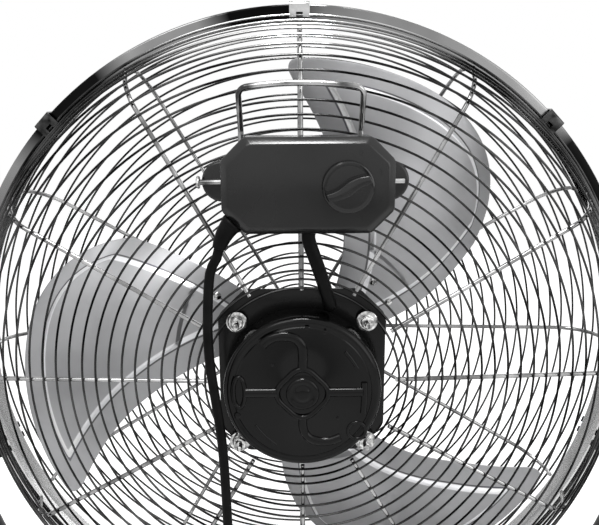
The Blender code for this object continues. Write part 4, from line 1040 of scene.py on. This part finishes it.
# Strain relief: a smooth tapered rubber sleeve, moulded round the cord where it leaves the box and bent by
# the cord's weight. Its flanged base is trapped in the cut lower corner of the shells.
gland_length = 0.021
gland_start = Vector((0.04600, 0.10743, axis_height + 0.12910)) + Vector((1, 0, -1)).normalized() * 0.0003
gland_tilt = pi / 4
gland_turn = radians(30)
gland_bend = gland_length / gland_turn
gland_steps = [(0.0072, 0.0), (0.0077, 0.0005), (0.0078, 0.0010), (0.0078, 0.0024), (0.0074, 0.0030)]
gland_steps += [(0.0070 - 0.0022 * step / 12, 0.0034 + 0.0170 * step / 12) for step in range(13)]
gland_steps += [(0.0047, 0.0208), (0.0044, 0.0210), (0.0034, 0.0210)]
gland = turned(gland_steps, 36, facing="up")
for corner in gland.data.vertices:
    side, level, along = corner.co
    heading = gland_tilt + gland_turn * along / gland_length
    ahead = Vector((sin(heading), 0, cos(heading)))
    bow = ahead - Vector((sin(gland_tilt), 0, cos(gland_tilt)))
    corner.co = gland_start + bow * gland_bend + ahead * side + Vector((0, level, 0))
pick(gland, "FACE")
outward()
fit(gland, "cord_gland_sleeve", sheath, "head", "black_rubber", "cord_gland", smooth=35)


# Pivot bolts: shouldered zinc plated bolts, each riveted through the hoop's side by its round flange.
# The head tilts on them in the yoke's axle holes.
tilt_knob_plastic = surface(
    "tilt_knob_plastic", (0.014, 0.014, 0.015), (0.026, 0.026, 0.027), (0.34, 0.46), 0.0, 30.0, 900.0
)
for name, side, facing in (("left", 1, "left"), ("right", -1, "right")):
    low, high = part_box(f"pivot_bolt_{name}")
    near, far = (low.x, high.x) if side > 0 else (-high.x, -low.x)
    bolt = turned(
        [
            (0.0134, 0), (0.014, 0.0005), (0.014, 0.0068), (0.0134, 0.0075), (0.0065, 0.0075),
            (0.006, 0.0078), (0.004, 0.008), (0.004, far - near - 0.0006), (0.0034, far - near),
        ],
        48,
        (side * near, 0, axis_height),
        facing,
    )
    fit(bolt, f"pivot_bolt_{name}_shouldered", fastener_zinc, "head", "zinc_fastener", f"pivot_bolt_{name}")


# Tilt knobs: moulded knobs with six lobes for the fingers, screwed onto the pivot bolts.
# Each one clamps the yoke between its face and the pivot bolt's flange.
lobe_start = 0.0165
for name, side in (("left", 1), ("right", -1)):
    low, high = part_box(f"tilt_knob_{name}")
    grip = turned(
        [
            (0.0045, 0.0110), (0.0045, 0), (0.0150, 0), (0.0160, 0.0010), (0.0170, 0.0026), (0.0192, 0.0042),
            (0.0196, 0.0060), (0.0196, 0.0118), (0.0190, 0.0142), (0.0176, 0.0155), (0.0150, 0.0160),
            (0.0120, 0.0157), (0.0070, 0.0150),
        ],
        96,
        facing="up",
    )
    for corner in grip.data.vertices:
        reach = hypot(corner.co.x, corner.co.y)
        if reach > lobe_start:
            wave = cos(6 * atan2(corner.co.y, corner.co.x))
            depth = ease((reach - lobe_start) / 0.0025)
            scale = (reach + 0.0012 * depth * (wave - 1)) / reach
            corner.co.x *= scale
            corner.co.y *= scale
    grip.rotation_euler = (0, side * pi / 2, 0)
    grip.location = (low.x if side > 0 else high.x, 0, axis_height)
    knob = f"tilt_knob_{name}"
    fit(set_down(grip), f"{knob}_lobed", tilt_knob_plastic, f"tilt_grip_{name}", "black_plastic", knob)


# Yoke: one bent steel tube, 22 mm across with a 1.5 mm wall, powder coated black, its ends open.
# It is drilled through for the pivot bolts and welded to the cross bar.
stand_paint = surface(
    "stand_paint", (0.011, 0.011, 0.012), (0.021, 0.021, 0.022), (0.34, 0.46), 0.0, 12.0, 480.0, 0.00005
)
tube_radius = 0.011
low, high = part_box("yoke_tube")
yoke_half = 0.300


def tube(points, name, body, *nodes):
    """Open steel tube of the stand along the points."""
    pipe = rod(points, 2 * tube_radius, 36, caps=False)
    pick(pipe, "FACE")
    outward()
    modify(pipe, "SOLIDIFY", thickness=0.0015, offset=-1)
    pipe.data.validate()
    soften(pipe, 0.0003, 2, 60)
    return fit(pipe, name, stand_paint, body, "black_paint", *nodes, smooth=50)


yoke_low = low.z + tube_radius
yoke_route = (
    (-yoke_half, 0, high.z), (-yoke_half, 0, yoke_low), (yoke_half, 0, yoke_low), (yoke_half, 0, high.z)
)
tube(cornered(yoke_route, 0.225, 40), "yoke_tube_bent", "stand", "yoke_tube")


# Cross bar and floor runners: straight lengths of the same tube, welded together under the yoke.
# The runners lie front to back and carry the feet.
runner_x = 0.170
low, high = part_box("cross_bar")
bar_height = (low.z + high.z) / 2
tube([(low.x, 0, bar_height), (high.x, 0, bar_height)], "cross_bar_tube", "stand", "cross_bar")
for name, x in (("left", runner_x), ("right", -runner_x)):
    low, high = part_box(f"runner_{name}")
    tube([(x, low.y, bar_height), (x, high.y, bar_height)], f"runner_{name}_tube", "stand", f"runner_{name}")


# Feet: moulded rubber sleeves with flat undersides, pushed over the runners' ends.
# Their ends are closed.
foot_rubber = surface("foot_rubber", 0.012, 0.028, (0.55, 0.72), 0.0, 50.0, 800.0, 0.00005)
foot_cut = 0.0074
foot_round = 0.0026
foot_wall = 0.0031
for end, sign in (("front", -1), ("back", 1)):
    for name, x in (("left", runner_x), ("right", -runner_x)):
        node = f"foot_{end}_{name}"
        low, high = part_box(node)
        outer, inner = (low.y, high.y) if sign < 0 else (high.y, low.y)
        foot = cut_sheet((x, inner, bar_height), high.z - low.z, high.z - low.z, foot_cut, foot_round)
        pick(foot, "FACE")
        bpy.ops.mesh.inset(thickness=foot_wall)
        pick(foot, "FACE", lambda middle, normal: hypot(middle.x - x, middle.z - bar_height) < 0.002)
        extrude((0, 0.75 * (outer - inner), 0))
        bpy.context.tool_settings.mesh_select_mode = (False, True, False)
        bpy.ops.mesh.select_all(action="DESELECT")
        bpy.ops.mesh.select_non_manifold()
        extrude((0, outer - inner, 0), edges=True)
        bpy.ops.mesh.edge_face_add()
        outward()
        soften(foot, 0.0012, 3, 60)
        fit(foot, f"{node}_sleeve", foot_rubber, "stand", "black_rubber", node)


# Mains cord: a round 7 mm lead in a rubber sheath, 1.8 m long. It hangs from the strain relief to the floor
# behind the fan, and the rest lies in a coil of five turns, its outer turns over its inner ones.
cord_diameter = 0.007
gland_exit = Vector((0.05667, 0.10743, 0.46872))
cord_route = (
    (0.0637, 0.1077, 0.4496),
    (0.0662, 0.1083, 0.4141),
    (0.0655, 0.1087, 0.3850),
    (0.0622, 0.1090, 0.3560),
    (0.0592, 0.1093, 0.3291),
    (0.0576, 0.1096, 0.2991),
    (0.0566, 0.1105, 0.2600),
    (0.0562, 0.1120, 0.2200),
    (0.0564, 0.1145, 0.1700),
    (0.0575, 0.1195, 0.1200),
    (0.0590, 0.1290, 0.0700),
    (0.0570, 0.1410, 0.0340),
    (0.0460, 0.1530, 0.0115),
    (0.0230, 0.1595, 0.0054),
)
coil_middle = (-0.045, 0.112)
coil_radius = 0.04825
coil_turns = 5.0
coil_low = 0.0059
coil_high = 0.0135
turn_pitch = 0.0076
coil = []
for step in range(241):
    turns = coil_turns * step / 240
    radius = coil_radius - turn_pitch * min(turns, coil_turns - turns)
    angle = pi / 2 + 2 * pi * turns
    x, y = coil_middle[0] + radius * cos(angle), coil_middle[1] + radius * sin(angle)
    height = coil_low + (coil_high - coil_low) * ease((turns - coil_turns / 2 + 0.25) / 0.5)
    coil.append(Vector((x, y, height)))
coil_end = coil[-1] + Vector((-0.024, 0, 0))
leave = gland_exit + Vector((cos(radians(75)), 0, -sin(radians(75)))) * cord_diameter
free_line = smooth_line((leave, *cord_route, coil[0] + Vector((0.0178, 0, 0))), 0.006)
cord_line = [gland_exit, *free_line, *coil, coil_end]
cord = rod(cord_line, cord_diameter, 14)
set_down(cord)
bpy.ops.object.shade_smooth_by_angle(angle=radians(60))
cord.name = "mains_cord_sheathed"
cord.data.name = cord.name
cord.data.materials.clear()
cord.data.materials.append(sheath)
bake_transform(cord)
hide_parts("mains_cord", "cord_coil")


# Tie: a reusable rubber strap round the coil's turns.
# It is pulled snug and lies flat.
tie_in, tie_out, tie_low, tie_high = 0.0275, 0.0519, 0.0013, 0.0181
strap_sheet = 0.001
strap_width = 0.008
strap = surface("strap_rubber", 0.012, 0.024, (0.50, 0.65), 0.0, 80.0, 1200.0)
tie = begin(bpy.ops.mesh.primitive_plane_add, size=1, rotation=upright)
tie.dimensions = (tie_out - tie_in + 2 * strap_sheet, tie_high - tie_low + 2 * strap_sheet, 0)
tie.location = ((tie_in + tie_out) / 2, 0, (tie_low + tie_high) / 2)
set_down(tie)
pick(tie, "VERT")
bpy.ops.mesh.bevel(offset=0.0022, segments=5, affect="VERTICES")
pick(tie, "FACE")
extrude((0, strap_width, 0))
pick(tie, "FACE", lambda middle, normal: abs(normal.y) > 0.9)
bpy.ops.mesh.delete(type="ONLY_FACE")
pick(tie, "FACE")
bpy.ops.transform.translate(value=(0, -strap_width / 2, 0))
outward()
modify(tie, "SOLIDIFY", thickness=strap_sheet, offset=-1)
soften(tie, 0.0002, 2, 60)
tie.location = (*coil_middle, 0)
tie.rotation_euler = (0, 0, radians(45))
fit(tie, "coil_tie_strap", strap, "stand", "black_rubber", "coil_tie")


# Plug: a moulded rubber plug with a narrow neck, two flat blades and a round earth pin of bright steel.
# It lies behind the fan beside the coil, at the cord's end.
plug_start = coil_end + Vector((-0.0003, 0, 0))
plug_steps = (
    (0.0055, 0.0055, 0.0), (0.0057, 0.0057, 0.004), (0.0063, 0.0063, 0.011), (0.0130, 0.0132, 0.0165),
    (0.0130, 0.0132, 0.036),
)
plug = begin(bpy.ops.mesh.primitive_plane_add, size=2, rotation=(0, -pi / 2, 0))
pick(set_down(plug), "FACE")
wide, tall, along = plug_steps[0]
bpy.ops.transform.resize(value=(1, wide, tall))
for new_wide, new_tall, new_along in plug_steps[1:]:
    extrude((along - new_along, 0, 0))
    bpy.ops.transform.resize(value=(1, new_wide / wide, new_tall / tall), center_override=(-new_along, 0, 0))
    wide, tall, along = new_wide, new_tall, new_along
outward()
plug.location = plug_start
soften(set_down(plug), 0.0028, 4)
fit(plug, "plug_moulded", sheath, "stand", "black_rubber", "plug", smooth=40)
pins = []
for side in (-1, 1):
    spot = plug_start + Vector((-0.0440, side * 0.00635, -0.00397))
    blade_pin = begin(bpy.ops.mesh.primitive_cube_add, size=1, location=spot)
    blade_pin.scale = (0.0180, 0.0015, 0.0063)
    soften(set_down(blade_pin), 0.0004, 2)
    pins.append(blade_pin)
earth = turned([(0.0023, 0.0350), (0.0023, 0.0510), (0.0018, 0.0524), (0.0008, 0.0530)], 20, facing="right")
earth.location = plug_start + Vector((0, 0, 0.00793))
pins = join([*pins, set_down(earth)])
fit(pins, "plug_contacts", bearing_steel, "stand", "bright_steel")


# Camera and studio: the camera stands behind the fan, a little above its axis, and looks 13 degrees down.
# A pale floor, soft area lamps and a white surround light the fan at a plain level.
bpy.ops.object.camera_add(
    location=(0.005, 0.575, 0.569),
    rotation=(radians(76.714), radians(0.344), radians(179.519)),
)
camera = bpy.context.object
camera.data.lens = 42.07
scene = bpy.context.scene
scene.camera = camera
scene.view_settings.view_transform = "Standard"

white = (1.0, 1.0, 1.0, 1.0)
world = bpy.data.worlds.new("studio")
scene.world = world
world.use_nodes = True
tree = world.node_tree
around = tree.nodes["Background"]
around.inputs["Color"].default_value = white
around.inputs["Strength"].default_value = 0.45
seen = wire(tree, "Background", {"Color": white, "Strength": 1.0})
rays = wire(tree, "LightPath", {}).outputs
direct = wire(tree, "Math", {0: rays["Is Camera Ray"], 1: rays["Is Glossy Ray"]}, operation="MAXIMUM")
lights = {"Fac": direct.outputs["Value"], 1: around.outputs["Background"], 2: seen.outputs["Background"]}
both = wire(tree, "MixShader", lights)
tree.links.new(both.outputs["Shader"], tree.nodes["World Output"].inputs["Surface"])

for name, place, size, power in (
    ("key_lamp", (0.6, 1.3, 2.1), 0.9, 10.0),
    ("fill_lamp", (-1.5, 1.1, 0.9), 1.2, 7.0),
    ("top_lamp", (0.0, 0.45, 1.6), 0.3, 12.0),
    ("front_lamp", (-0.6, -1.8, 1.1), 1.4, 7.0),
):
    lamp = bpy.data.objects.new(name, bpy.data.lights.new(name, "AREA"))
    bpy.context.collection.objects.link(lamp)
    lamp.data.size = size
    lamp.data.energy = power
    lamp.location = place
    lamp.rotation_euler = (Vector(head_middle) - Vector(place)).to_track_quat("-Z", "Y").to_euler()

floor = set_down(begin(bpy.ops.mesh.primitive_plane_add, size=8, location=(0, 0, -0.0004)))
floor.name = "studio_floor"
pale = surface("pale_floor", 0.88, 0.90, (0.60, 0.70), 0.0, 3.0, 60.0, shine=0.2)
tree = pale.node_tree
shader = tree.nodes["Principled BSDF"]
shader.inputs["Emission Color"].default_value = white
rays = wire(tree, "LightPath", {}).outputs
lift = wire(tree, "Math", {0: rays["Is Camera Ray"], 1: 0.54}, operation="MULTIPLY")
tree.links.new(lift.outputs["Value"], shader.inputs["Emission Strength"])
floor.data.materials.append(pale)
